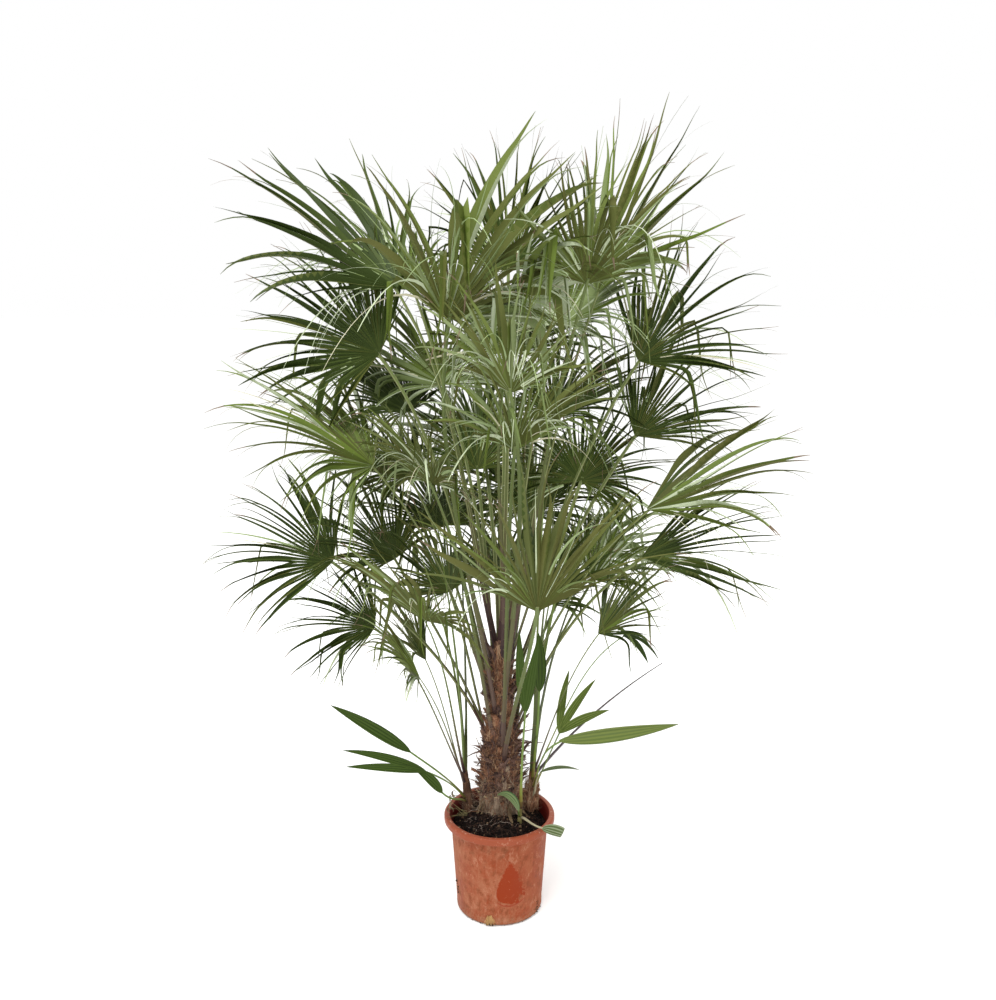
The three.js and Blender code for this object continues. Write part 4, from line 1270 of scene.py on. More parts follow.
# Their tones: the two sides of each pleat, one painted darker as painted shade and one painted
# lighter as a painted highlight, and the under side; and for each leaf its half width, how much of
# its outline there is before it is cut off blunt, its tone, and the turn of its fan, in degrees,
# about its middle.
YOUNG_TONES = {
    "fresh": ((72, 88, 34), (98, 110, 54), (82, 96, 46)),
    "dark": ((42, 58, 16), (56, 74, 25), (48, 66, 19)),
    "dusty": ((78, 92, 54), (128, 138, 108), (106, 114, 82)),
    "blue": ((62, 92, 56), (112, 126, 84), (76, 104, 68)),
}
YOUNG_LOOKS = (
    (13.5, 1.0, "dark", 0), (9.5, 1.0, "dark", 0), (11.0, 1.0, "dark", 0), (8.0, 1.0, "dark", 0),
    (11.0, 1.0, "fresh", 0), (15.5, 1.0, "fresh", 180), (15.0, 1.0, "dark", 0),
    (5.5, 1.0, "dusty", 0), (11.0, 1.0, "dark", 0), (15.0, 0.92, "blue", 0), (15.0, 0.6, "dusty", 0),
)


def young_shape(fan, look):
    """The leaflets of one young leaf along the line of the solids, across a zigzag of pleats.

    The half width is largest * sin(pi * (cut * t) ** OUTLINE_START) ** OUTLINE_FULLNESS.
    """
    largest, cut, tone, turn = look
    face, side = (turned(way, fan.middle, math.radians(turn)) for way in (fan.face, fan.side))
    fan = SimpleNamespace(**{**vars(fan), "face": face, "side": side})
    leaf = np.arange(fan.count)
    angle = (leaf + 0.5 - fan.count / 2) * fan.spread / fan.count
    across = across_rays(fan, angle)[:, None]
    reach = fan.reach * vary(LENGTH_VARIETY, fan.index, leaf)
    t = np.linspace(0, 1, YOUNG_STATIONS)
    fall = fan.bend * YOUNG_BEND * t
    sway = YOUNG_SWAY * (chance(fan.index, leaf + SWING_DRAW) - 0.5)
    heading = unit(
        rays(fan, angle)[:, None] - (fall[:, None] * UP)[None] + across * (sway[:, None] * t)[..., None],
    )
    steps = heading[:, 1:] * (reach / (len(t) - 1))[:, None, None]
    line = fan.hub + np.concatenate([np.zeros((fan.count, 1, 3)), np.cumsum(steps, axis=1)], axis=1)
    wide = square_to(across, heading)[:, :, None]
    over = np.cross(heading[:, :, None], wide)
    wave = np.pi * np.clip(t * cut, *OUTLINE_SHARES) ** OUTLINE_START
    width = largest * np.sin(wave) ** OUTLINE_FULLNESS
    u = np.linspace(-1, 1, 2 * PLEATS + 1)
    zigzag = PLEAT_DEPTH * (np.arange(len(u)) % 2) + EDGE_RISE * u ** 2 * largest
    rise = zigzag[None, :] * (width / largest)[:, None]
    spread = width[:, None] * u[None, :]
    top = line[:, :, None] + wide * spread[None, ..., None] + over * rise[None, ..., None]
    thick = mix(EDGE_THICKNESS, 1, 1 - np.abs(u))
    low = top - over * YOUNG_THICKNESS * thick[:, None]
    column = np.arange(2 * len(u))
    first = 3 * list(YOUNG_TONES).index(tone)
    # Alternate sides of each pleat take a darker and a lighter tone: painted shade and painted highlight.
    slot = first + np.where(column < len(u), 1 + column % 2, column % 2)
    return tubes(np.concatenate([low, top[:, :, ::-1]], axis=2), slot)


def make_young_leaves(young, nodes_of):
    """The young leaves' blades in one piece, the sides of their pleats painted darker and lighter as
    painted shade and highlight, and under sides in their tones.
    """
    finishes = []
    for tone, colours in YOUNG_TONES.items():
        for place, colour in zip(("pleat_shaded_side", "pleat_lit_side", "under"), colours):
            finishes.append(leaf_finish("young_%s_%s" % (tone, place), colour, 0.52))
    shape = joined([young_shape(fan, look) for fan, look in zip(young, YOUNG_LOOKS)])
    piece("young_blades", shape, finishes, [nodes_of[fan.index] for fan in young], 20)


# Cores: the trunk's columns and rows, its size in girths and its relief; the suckers'. The relief is
# upright ribs and lumps, of these lengths.
CORE_COLUMNS = 150
CORE_ROWS = 200
TRUNK_SHRINK = 0.93
TRUNK_RELIEF = 1.6
SUCKER_COLUMNS = 40
SUCKER_ROWS = 50
SUCKER_RELIEF = 0.7
SUCKER_SIZES = {"left": 0.95, "right": 0.8, "front": 0.8}
RIB_STRETCH = (1, 1, 0.12)
RIB_LENGTH = 7
LUMP_LENGTH = 22

# Straps of old leaf bases, with the ranges that they are drawn from. Of its length, a strap's foot
# lies this share below its height. Their end is this much of their width, and ragged.
STRAP = SimpleNamespace(
    stations=9, columns=12, turns=(-0.25, 0.25), lengths=(0.55, 1.3), shortening=0.2,
    splays=(0.1, 1.5), splay_power=1.5, leans=(-0.25, 0.25), inset=1.5, below=0.45,
    widths=(0.5, 1.2), end_width=0.55, narrowing=1.5, thickness=(3.5, 2.2), depths=(0.8, 1.4),
    ragged=(-0.6, 1.0), ragged_length=9, relief=0.8, relief_length=6,
)

# Each group of straps: number, heights, width, length and seed.
LEAF_BASES = (120, (232, 585), 23, 54, 11)
OLD_STALKS = (30, (330, 600), 12, 96, 14)
SUCKER_BASES = (16, (212, 262), 13, 26, 15)

# The shares of the leaf bases' three skins, and of those whose end is cut and pale.
BASE_SKINS = (0.55, 0.33, 0.12)
CUT_ENDS = 0.10

# Groups of splinters and hairs: stem, number, heights, length, radii, seed, rise and skin.
SPLINTERS = (
    ("trunk", 420, (240, 590), 20, (0.9, 2.0), 20, (0.1, 1.4), 0),
    ("trunk", 140, (285, 410), 32, (2.2, 4.0), 27, (0.2, 1.0), 0),
    ("trunk", 210, (225, 420), 20, (0.8, 1.8), 25, (0.1, 1.4), 1),
)
HAIR_RISE = (-0.2, 0.8)
HAIRS = (
    ("trunk", 1700, (228, 600), 19, (0.2, 0.5), 21, HAIR_RISE, 0),
    ("trunk", 340, (205, 310), 24, (0.3, 0.8), 22, HAIR_RISE, 1),
    ("trunk", 566, (260, 600), 26, (0.25, 0.55), 26, HAIR_RISE, 2),
    ("right", 300, (208, 280), 13, (0.25, 0.6), 23, HAIR_RISE, 0),
    ("left", 160, (208, 262), 10, (0.2, 0.5), 24, HAIR_RISE, 1),
)

# A hair's stations and how much thinner its tip is; how its root lies in the skin, how much it goes
# outward, strays, bends and sags, and its length in the group's.
HAIR_STATIONS = 4
HAIR_TAPER = 0.75
HAIR = SimpleNamespace(
    roots=(0.9, 1.06), outward=0.8, stray=0.5, bend=0.35, sag=0.1, lengths=(0.4, 1.4),
)

# Groups of crossed fibres: stem, number, heights, radii, seed and skin. Each is a line of stations
# that climbs, turns, and lies a gap and up to a lift off the stem.
FIBRES = (
    ("trunk", 2200, (215, 590), (0.3, 0.8), 31, 0),
    ("trunk", 1100, (200, 280), (0.4, 1.1), 32, 1),
    ("trunk", 733, (240, 600), (0.3, 0.8), 34, 2),
    ("right", 160, (206, 280), (0.3, 0.8), 33, 2),
)
FIBRE = SimpleNamespace(stations=6, climbs=(14, 58), turn=0.55, gap=0.6, lifts=(0, 5))

# Groups of blunt shoots at the trunk's foot: stem, number, seed and skin, and what they are drawn
# from. They run out over the soil by this much.
FOOT_SHOOTS = (("trunk", 44, 35, 0), ("trunk", 22, 36, 1))
FOOT_RUN = 26
SHOOT = SimpleNamespace(
    corners=6, shares=(0, 0.15, 0.35, 0.7, 1.0), lows=(198, 226), heights=(18, 50), gaps=(0, 3),
    radii=(1.4, 4.6), taper=0.5,
)

# Cut stalk bases on the trunk's front: place to the right, top, height and half width.
CUT_STUBS = ((10.6, 326, 34, 6.5), (-6.6, 277, 40, 8.0), (22, 300, 24, 5.0))
STUB = SimpleNamespace(corners=8, shares=(0, 0.3, 0.75, 1.0), gap=1, lean=5, flatness=0.6, taper=0.3)

# Skins of bark and fibre: a dark and a light brown each.
BARK_TINTS = {
    "fibre_rust": ((96, 64, 46), (172, 124, 94)),
    "leaf_base_dark": ((44, 30, 27), (128, 98, 84)),
    "stalk_base": ((62, 45, 42), (118, 92, 80)),
    "fibre_grey": ((112, 92, 76), (184, 164, 140)),
    "fibre_tan": ((140, 106, 80), (206, 172, 138)),
    "cut_end": ((176, 154, 116), (222, 204, 164)),
    "foot_shoots": ((76, 60, 44), (142, 122, 92)),
    "sucker_brown": ((70, 46, 36), (120, 88, 66)),
    "sucker_green": ((104, 98, 56), (160, 150, 96)),
}


def round_stem(angle):
    """Unit vectors level and outward at angles about a stem."""
    return np.stack([np.cos(angle), np.sin(angle), np.zeros_like(angle)], axis=-1)


def stem_core(stem, columns, rows, relief, size=1):
    """A stem's skin: size * girth at each height plus upright ribs and lumps of the given relief."""
    low, high = stem.girth[0][0], stem.girth[-1][0]
    height = np.linspace(low, high, rows)
    outward = round_stem(np.linspace(0, 2 * np.pi, columns, endpoint=False))
    radius = girth_at(stem, height) * size
    surface = axis_at(stem, height)[:, None] + outward[None] * radius[:, None, None]
    ribs = ripple(surface * RIB_STRETCH, RIB_LENGTH, 3) * relief + ripple(surface, LUMP_LENGTH, 4) * relief
    rings = surface + outward[None] * (ribs - relief)[..., None]
    return tubes(rings[None])


def leaf_bases(stem, count, heights, width, length, seed):
    """Old leaf bases in a spiral: blunt tapering straps that hug the stem and splay at their ends.

    Column c of a strap lies at angle c round a flat oval, bent about the stem. Along it the strap
    follows unit(up + outward * splay * t² + sideways * lean * t), and its last ring is ragged.
    """
    draw = np.random.default_rng(seed)
    share = np.linspace(0, 1, count)
    height = mix(*heights, share)
    outward = round_stem(np.radians(np.arange(count) * GOLDEN_ANGLE) + draw.uniform(*STRAP.turns, count))
    sideways = np.cross(UP, outward)
    t = np.linspace(0, 1, STRAP.stations)
    long = length * draw.uniform(*STRAP.lengths, count) * (1 - STRAP.shortening * share)
    splay = draw.uniform(*STRAP.splays, count) ** STRAP.splay_power
    lean = draw.uniform(*STRAP.leans, count)
    rise = unit(
        UP + outward[:, None] * (splay[:, None] * t ** 2)[..., None]
        + sideways[:, None] * (lean[:, None] * t)[..., None],
    )
    line = np.cumsum(rise * (long / STRAP.stations)[:, None, None], axis=1)
    girth = girth_at(stem, height)
    centre = axis_at(stem, height) + outward * (girth - STRAP.inset)[:, None]
    line = centre[:, None] + line - UP * (long * STRAP.below)[:, None, None]
    narrow = mix(1.0, STRAP.end_width, t ** STRAP.narrowing)
    wide = (width * draw.uniform(*STRAP.widths, count)[:, None] * narrow)[..., None]
    deep = (mix(*STRAP.thickness, t)[None] * draw.uniform(*STRAP.depths, count)[:, None])[..., None]
    turn = np.linspace(0, 2 * np.pi, STRAP.columns, endpoint=False)
    x, y = np.cos(turn), np.sin(turn)
    back = np.cross(sideways[:, None], rise)
    hug = (x ** 2)[None, None] * wide ** 2 / (4 * girth)[:, None, None]
    rings = line[:, :, None] + sideways[:, None, None] * (wide * x / 2)[..., None]
    rings = rings + back[:, :, None] * (deep * y - hug)[..., None]
    ragged = draw.uniform(*STRAP.ragged, (count, STRAP.columns)) * STRAP.ragged_length
    rings[:, -1] += rise[:, -1, None] * ragged[..., None]
    relief = ripple(rings, STRAP.relief_length, seed + 1)[..., None] * STRAP.relief
    rings = rings + outward[:, None, None] * relief
    return rings[:, :, ::-1]


def hair_tubes(root, heading, bend, length, radius, stations=HAIR_STATIONS):
    """Thin tapering hairs: point t is root + (heading t + bend t²) length, three-sided."""
    t = np.linspace(0, 1, stations)[None, :, None]
    line = root[:, None] + (heading[:, None] * t + bend[:, None] * t ** 2) * length[:, None, None]
    ahead = unit(heading[:, None] + 2 * bend[:, None] * t)
    side = unit(np.cross(ahead, ASLANT))
    thick = radius[:, None] * (1 - HAIR_TAPER * t[..., 0])
    return rings_about(line, side, np.cross(ahead, side), thick, 3)


def stem_hairs(stem, count, heights, length, radii, seed, rise):
    """Loose hairs or splinters that stick out of a stem at random, mostly outward and upward."""
    draw = np.random.default_rng(seed)
    height = draw.uniform(*heights, count)
    outward = round_stem(draw.uniform(0, 2 * np.pi, count))
    depth = girth_at(stem, height) * draw.uniform(*HAIR.roots, count)
    root = axis_at(stem, height) + outward * depth[:, None]
    stray = draw.normal(0, HAIR.stray, (count, 3))
    heading = unit(outward * HAIR.outward + stray + UP * draw.uniform(*rise, (count, 1)))
    bend = draw.normal(0, HAIR.bend, (count, 3)) - UP * HAIR.sag
    long = length * draw.uniform(*HAIR.lengths, count)
    return hair_tubes(root, heading, bend, long, draw.uniform(*radii, count))


def mat_fibres(stem, count, heights, radii, seed):
    """Fibres that lie on a stem and cross each other, each a short run of a helix about its axis."""
    draw = np.random.default_rng(seed)
    t = np.linspace(0, 1, FIBRE.stations)
    start = draw.uniform(*heights, count)
    climb = draw.uniform(*FIBRE.climbs, count)
    turn = draw.uniform(0, 2 * np.pi, count)
    angle = turn[:, None] + draw.normal(0, FIBRE.turn, count)[:, None] * t
    height = start[:, None] + climb[:, None] * t
    lift = girth_at(stem, height) + FIBRE.gap + draw.uniform(*FIBRE.lifts, (count, 1)) * np.sin(np.pi * t)
    outward = round_stem(angle)
    line = axis_at(stem, height) + outward * lift[..., None]
    radius = draw.uniform(*radii, count)[:, None, None]
    side = np.cross(outward, UP)
    return np.stack([line + side * radius, line + outward * radius, line - side * radius], axis=2)


def foot_stubs(stem, count, seed):
    """Short blunt shoots and root bases on the stem's swollen foot, six-sided, tapering upwards and
    running out over the soil: they stand off by FOOT_RUN (1 - t)²."""
    draw = np.random.default_rng(seed)
    outward = round_stem(draw.uniform(0, 2 * np.pi, count))
    low = draw.uniform(*SHOOT.lows, count)
    tall = draw.uniform(*SHOOT.heights, count)
    t = np.array(SHOOT.shares)
    height = low[:, None] + tall[:, None] * t
    reach = girth_at(stem, height) + draw.uniform(*SHOOT.gaps, (count, 1))
    reach = reach + draw.uniform(0, FOOT_RUN, (count, 1)) * (1 - t) ** 2
    line = axis_at(stem, height) + outward[:, None] * reach[..., None]
    turn = np.linspace(0, 2 * np.pi, SHOOT.corners, endpoint=False)[:, None]
    around = np.cross(UP, outward)[:, None] * np.cos(turn) + outward[:, None] * np.sin(turn)
    thick = draw.uniform(*SHOOT.radii, (count, 1)) * (1 - SHOOT.taper * t)
    return (line[:, :, None] + around[:, None] * thick[..., None, None])[:, :, ::-1]


def cut_stubs(stem):
    """Cut stalk bases on the stem's front: eight-sided, tapering upwards, with a flat end."""
    x, top, tall, half = (column[:, None] for column in np.array(CUT_STUBS).T)
    t = np.array(STUB.shares)
    height = top - tall * (1 - t)
    axis = axis_at(stem, height)
    depth = np.sqrt(np.maximum(girth_at(stem, height) ** 2 - (x - axis[..., 0]) ** 2, 1))
    y = axis[..., 1] - depth - STUB.gap - STUB.lean * t
    line = np.stack([np.broadcast_to(x, height.shape), y, height], axis=-1)
    turn = np.linspace(0, 2 * np.pi, STUB.corners, endpoint=False)
    ring = round_stem(turn) * (1, STUB.flatness, 0)
    return line[:, :, None] + ring * (half * (1 - STUB.taper * t))[..., None, None]


def grouped(rule, groups):
    """The tubes that a rule gives for each group of stem, numbers and skin, in one."""
    return joined([tubes(rule(STEMS[stem], *numbers), skin) for stem, *numbers, skin in groups])


def make_stems(nodes):
    """The trunk and suckers: their cores, and the straps, splinters, hairs and shoots on them."""
    rust, dark, purple, grey, tan, pale, khaki, brown, green = (
        bark_finish(name, *tints) for name, tints in BARK_TINTS.items()
    )
    trunk = STEMS["trunk"]
    core = stem_core(trunk, CORE_COLUMNS, CORE_ROWS, TRUNK_RELIEF, TRUNK_SHRINK)
    piece("trunk_core", core, [trunk_finish()], nodes["trunk"], 60)

    draw = np.random.default_rng(17)
    count = LEAF_BASES[0]
    skin = draw.choice(len(BASE_SKINS), count, p=BASE_SKINS)
    points, faces, slots = tubes(leaf_bases(trunk, *LEAF_BASES), skin[:, None, None])
    slots[2] = np.where(draw.uniform(size=count) < CUT_ENDS, 3, skin)
    piece("leaf_bases", (points, faces, slots), [dark, rust, grey, pale], [], 45)
    piece("old_stalks", tubes(leaf_bases(trunk, *OLD_STALKS)), [purple], [], 45)

    piece("trunk_splinters", grouped(stem_hairs, SPLINTERS), [dark, rust], [], 60)
    piece("trunk_hairs", grouped(stem_hairs, HAIRS), [rust, grey, tan], [], 60)
    piece("trunk_fibres", grouped(mat_fibres, FIBRES), [rust, grey, tan], [], 60)
    piece("foot_shoots", grouped(foot_stubs, FOOT_SHOOTS), [khaki, grey], [], 60)
    points, faces, slots = tubes(cut_stubs(trunk))
    piece("cut_stubs", (points, faces, [*slots[:2], slots[2] + 1]), [grey, pale], [], 60)

    bulb = leaf_bases(STEMS["right"], *SUCKER_BASES)
    piece("sucker_right_bases", tubes(bulb), [rust], [], 45)
    for name, skin in (("left", brown), ("right", rust), ("front", green)):
        core = stem_core(STEMS[name], SUCKER_COLUMNS, SUCKER_ROWS, SUCKER_RELIEF, SUCKER_SIZES[name])
        piece("sucker_%s_skin" % name, core, [skin], nodes[name], 60)


# Pot: the segments of its turning, the corners and half height of the drain holes' drills, the
# rounding of its corners, and its dents: their length, depth and the heights they set in between.
POT_SEGMENTS = 192
DRILL_CORNERS = 24
DRILL_REACH = 8.0
POT_ROUNDING = 1.6
DENT_LENGTH = 170
DENT_DEPTH = 0.9
DENT_FROM = (5, 60)

# The pot's profile: under the foot, up the wall past a faint step, over the lip and down inside.
POT_SLOPE = (POT_BODY_RADIUS - POT_FOOT_RADIUS) / POT_HEIGHT
UNDER_LIP = POT_HEIGHT - POT_LIP_HEIGHT
POT_PROFILE = (
    (0, 0), (POT_FOOT_RADIUS - 9, 0), (POT_FOOT_RADIUS - 6, 1.4), (POT_FOOT_RADIUS - 1, 2.2),
    (POT_FOOT_RADIUS + 0.6, 5), (POT_FOOT_RADIUS + POT_SLOPE * 16, 16),
    (POT_FOOT_RADIUS + POT_SLOPE * 18 - 0.5, 18), (POT_BODY_RADIUS - 1, UNDER_LIP - 4),
    (POT_RIM_RADIUS - 7, UNDER_LIP + 1.5), (POT_RIM_RADIUS - 4, UNDER_LIP),
    (POT_RIM_RADIUS, UNDER_LIP + 0.6), (POT_RIM_RADIUS + 0.2, POT_HEIGHT - 4),
    (POT_RIM_RADIUS - 3, POT_HEIGHT), (POT_MOUTH_RADIUS, POT_HEIGHT - 0.4),
    (POT_BODY_RADIUS - POT_WALL + 1, POT_HEIGHT - 9), (POT_FOOT_RADIUS - POT_WALL, POT_FLOOR),
    (0, POT_FLOOR),
)

# The tuft of roots at the pot's front foot, and crumbs of soil on its foot: patches of angle,
# spread, number and heights, then the number and heights of those all round.
TUFT = SimpleNamespace(
    roots=90, place=(-22.0, -98.0, 24.0), spread=(3.0, 0.8, 2.4), way=(0.0, -0.15, -1.0),
    stray=(0.42, 0.12, 0.1), bend=0.18, bend_ways=(1, 0.4, 0), lengths=(12, 21), radii=(0.35, 0.8),
    stations=5, lowest=0.3,
)
CRUMB_PATCHES = ((-1.8, 0.05, 60, (1, 8)), (-0.55, 0.07, 30, (1, 34)), (-2.8, 0.05, 22, (45, 85)))
CRUMBS_ROUND = 40
ROUND_HEIGHTS = (1, 6)

# Crumbs: the shape and scale of their sizes' gamma draw and the least size, on the pot and on the
# soil, and a crumb's corners, the height and radius of its rings, and how they vary.
POT_CRUMB_SIZES = (2.0, 0.36)
POT_CRUMB_LEAST = 0.3
SOIL_CRUMB_SIZES = (1.8, 0.62)
SOIL_CRUMB_LEAST = 0.5
CRUMB_CORNERS = 5
CRUMB_LEVELS = ((-0.8, 0.45), (-0.1, 1.0), (0.6, 0.6))
CRUMB_JITTER = (0.7, 1.3)


def drain_holes(made):
    """Bores the drain holes through the pot's floor with one Boolean cut, and applies it."""
    turn = np.linspace(0, 2 * np.pi, DRILL_CORNERS, endpoint=False)
    ring = round_stem(turn) * DRAIN_RADIUS
    centre = round_stem(2 * np.pi * (np.arange(DRAIN_HOLES) + 0.5) / DRAIN_HOLES) * DRAIN_CIRCLE
    levels = UP * np.array([[-DRILL_REACH], [DRILL_REACH]])
    points, faces, _ = tubes(centre[:, None, None] + levels[None, :, None] + ring[None, None])
    cutter_mesh = bpy.data.meshes.new("drills")
    corners = [face.tolist() for block in faces for face in block]
    cutter_mesh.from_pydata((points * MM).tolist(), [], corners)
    cutter = bpy.data.objects.new("drills", cutter_mesh)
    bpy.context.scene.collection.objects.link(cutter)
    cut = made.modifiers.new("drain", "BOOLEAN")
    cut.operation = "DIFFERENCE"
    cut.solver = "EXACT"
    cut.object = cutter
    depsgraph = bpy.context.evaluated_depsgraph_get()
    mesh = bpy.data.meshes.new_from_object(made.evaluated_get(depsgraph))
    made.modifiers.clear()
    made.data = mesh
    bpy.data.objects.remove(cutter)


def pot_dents(points):
    """The slight dents of use in the pot's wall, none at its foot."""
    grown = ramp(points[:, 2], *DENT_FROM)[:, None]
    outward = points * (1, 1, 0) / 110
    return outward * (ripple(points, DENT_LENGTH, 51) * DENT_DEPTH)[:, None] * grown


def make_pot():
    """The pot's wall turned from its profile, with rounded corners and the slight dents of use."""
    profile = rounded(POT_PROFILE, POT_ROUNDING)
    points, faces, slots = lathe(profile, POT_SEGMENTS, pot_dents)
    radius, height = np.array(profile)[1:-2].T
    inner = (np.arange(len(radius)) > np.argmax(height)) & (radius <= POT_MOUTH_RADIUS)
    slots[0] = np.repeat(inner.astype(int), POT_SEGMENTS)
    slots[2] = slots[2] + 1
    # The inner wall and floor are painted darker than the outside: painted shade inside the pot.
    inside = Finish("pot_inside_painted_shade", POT_TINTS.inside, 0.5, Specular_IOR_Level=0.2).done()
    pot = piece("pot_wall", (points, faces, slots), [pot_finish(), inside], ["pot"], 50)
    drain_holes(pot)
    make_pot_litter()


def make_pot_litter():
    """What clings to the pot: a tuft of roots at its front foot, and crumbs of soil round the foot."""
    draw = np.random.default_rng(81)
    count = TUFT.roots
    root = np.array(TUFT.place) + draw.normal(0, TUFT.spread, (count, 3))
    heading = unit(np.array(TUFT.way) + draw.normal(0, TUFT.stray, (count, 3)))
    bend = draw.normal(0, TUFT.bend, (count, 3)) * TUFT.bend_ways
    length, thick = draw.uniform(*TUFT.lengths, count), draw.uniform(*TUFT.radii, count)
    straws = hair_tubes(root, heading, bend, length, thick, TUFT.stations)
    straws[..., 2] = np.maximum(straws[..., 2], TUFT.lowest)
    angle = [draw.normal(middle, spread, number) for middle, spread, number, _ in CRUMB_PATCHES]
    angle = np.concatenate([*angle, draw.uniform(-np.pi, np.pi, CRUMBS_ROUND)])
    size = draw.gamma(*POT_CRUMB_SIZES, len(angle)) + POT_CRUMB_LEAST
    high = [draw.uniform(*heights, number) for _, _, number, heights in CRUMB_PATCHES]
    high = np.concatenate([*high, draw.uniform(*ROUND_HEIGHTS, CRUMBS_ROUND)])
    high = np.maximum(high, size * 1.2)
    radius = mix(POT_FOOT_RADIUS, POT_BODY_RADIUS, high / POT_HEIGHT) + 0.4 * size
    crumbs = crumb_rings(draw, round_stem(angle) * radius[:, None] + UP * high[:, None], size)
    straw = leaf_finish("root_straw", (186, 150, 100), 0.8)
    dirt = soil_finish("foot_dirt", (62, 48, 38), (140, 118, 92))
    piece("pot_litter", joined([tubes(straws, 0), tubes(crumbs, 1)]), [straw, dirt], [], 60)


# Soil: the heap's rings and segments, its ripples' lengths, seeds and heights, how much higher it is
# at the front left, and its crumbs' number, range of share of the area and mixture of skins.
HEAP_RINGS = 110
HEAP_SEGMENTS = 220
SOIL_RIPPLES = ((34, 61, 3.0), (11, 62, 2.2), (4, 63, 1.2))
FRONT_HEAP = 5
SOIL_CRUMBS = 4200
CRUMB_AREA = (0.02, 1)
CRUMB_MIXTURE = (0.6, 0.32, 0.08)

# Roots on the soil: stations, the share at the front left, how far they keep from the rim, wander,
# step and lift, and the groups of number, radii and skin.
ROOT_STATIONS = 9
ROOTS_IN_FRONT = 0.75
ROOT_MARGINS = (22, 3)
ROOT_WANDER = 0.24
ROOT_STEPS = (1.6, 5.0)
ROOT_LIFTS = (0.3, 3.5)
ROOT_GROUPS = ((22, (0.25, 0.5), 0), (170, (0.2, 0.5), 1))

# Dead stalks and curled strips at the left rim: how many, and where they start and aim.
DEAD_STALKS = 7
DEAD_ROOT = (-66.0, 26.0, 212.0)
DEAD_AIM = (-106.0, 2.0, 236.0)
STRIPS = 5
STRIP_STATIONS = 16
STRIP_START = (-106.0, 6.0, 236.0)


def soil_height(radius):
    """The heap's height at a distance from the axis: mix of edge and crown by sin(share) ** power."""
    share = np.clip(1 - radius / SOIL_RADIUS, 0, 1)
    return mix(SOIL_EDGE, SOIL_CROWN, np.sin(share * np.pi / 2) ** SOIL_HEAP_POWER)


def soil_rise(points):
    """Lumps and hollows of the soil at points of its surface, higher at the front left."""
    leftward = ramp(-points[:, 0] - 0.6 * points[:, 1], -20, 70)
    heap = FRONT_HEAP * leftward * ramp(np.hypot(points[:, 0], points[:, 1]), 106, 70)
    return sum(ripple(points, length, seed) * height for length, seed, height in SOIL_RIPPLES) + heap


def heap_lumps(points):
    """How far the soil's upper side rises at points of the heap; its under side stays flat."""
    upper = (points[:, 2] > SOIL_EDGE - 1) & (np.hypot(points[:, 0], points[:, 1]) < SOIL_RADIUS - 1)
    return UP * (soil_rise(points) * upper)[:, None]


def make_soil(nodes):
    """The heap of soil, and the crumbs, roots and dry bits that lie on it."""
    foot = POT_FOOT_RADIUS - POT_WALL - SOIL_WALL_GAP
    top = [(r, soil_height(r)) for r in np.linspace(SOIL_RADIUS, 0, HEAP_RINGS)]
    profile = [(0, SOIL_FOOT), (foot - 1, SOIL_FOOT), *top]
    black = soil_finish("soil_moist", (14, 10, 9), (40, 29, 23))
    brown = soil_finish("soil_crumb", (34, 20, 16), (80, 54, 44))
    bark = soil_finish("soil_fibre", (92, 72, 54), (150, 124, 96))
    piece("soil_heap", lathe(profile, HEAP_SEGMENTS, heap_lumps), [black], nodes, 80)
    draw = np.random.default_rng(71)
    radius = SOIL_RADIUS * 0.98 * np.sqrt(draw.uniform(*CRUMB_AREA, SOIL_CRUMBS))
    flat = round_stem(draw.uniform(0, 2 * np.pi, SOIL_CRUMBS)) * radius[:, None]
    size = draw.gamma(*SOIL_CRUMB_SIZES, SOIL_CRUMBS) + SOIL_CRUMB_LEAST
    centre = flat + UP * soil_height(radius)[:, None]
    centre = centre + UP * (soil_rise(centre) + size * 0.25)[:, None]
    kind = draw.choice(len(CRUMB_MIXTURE), SOIL_CRUMBS, p=CRUMB_MIXTURE)
    crumbs = tubes(crumb_rings(draw, centre, size), kind[:, None, None])
    piece("soil_crumbs", crumbs, [black, brown, bark], [], 60)
    pale = leaf_finish("root_pale", (160, 146, 134), 0.75)
    tan = leaf_finish("root_tan", (76, 58, 50), 0.8)
    straw = leaf_finish("straw", (150, 140, 100), 0.7)
    dead = leaf_finish("dead_leaf", (118, 108, 86), 0.8)
    roots = joined([root_shape(draw, *group) for group in ROOT_GROUPS])
    piece("soil_roots", roots, [pale, tan], [], 60)
    piece("dry_bits", dry_bits(draw), [straw, dead], [], 40)


def crumb_rings(draw, centre, size):
    """Crumbs: three jittered rings of five corners about each centre."""
    belt = round_stem(np.radians(np.arange(CRUMB_CORNERS) * 360 / CRUMB_CORNERS))
    rings = np.stack([belt * radius + UP * height for height, radius in CRUMB_LEVELS])
    jitter = draw.uniform(*CRUMB_JITTER, (len(centre), *rings.shape[:2], 1))
    return centre[:, None, None] + rings[None] * jitter * size[:, None, None, None]


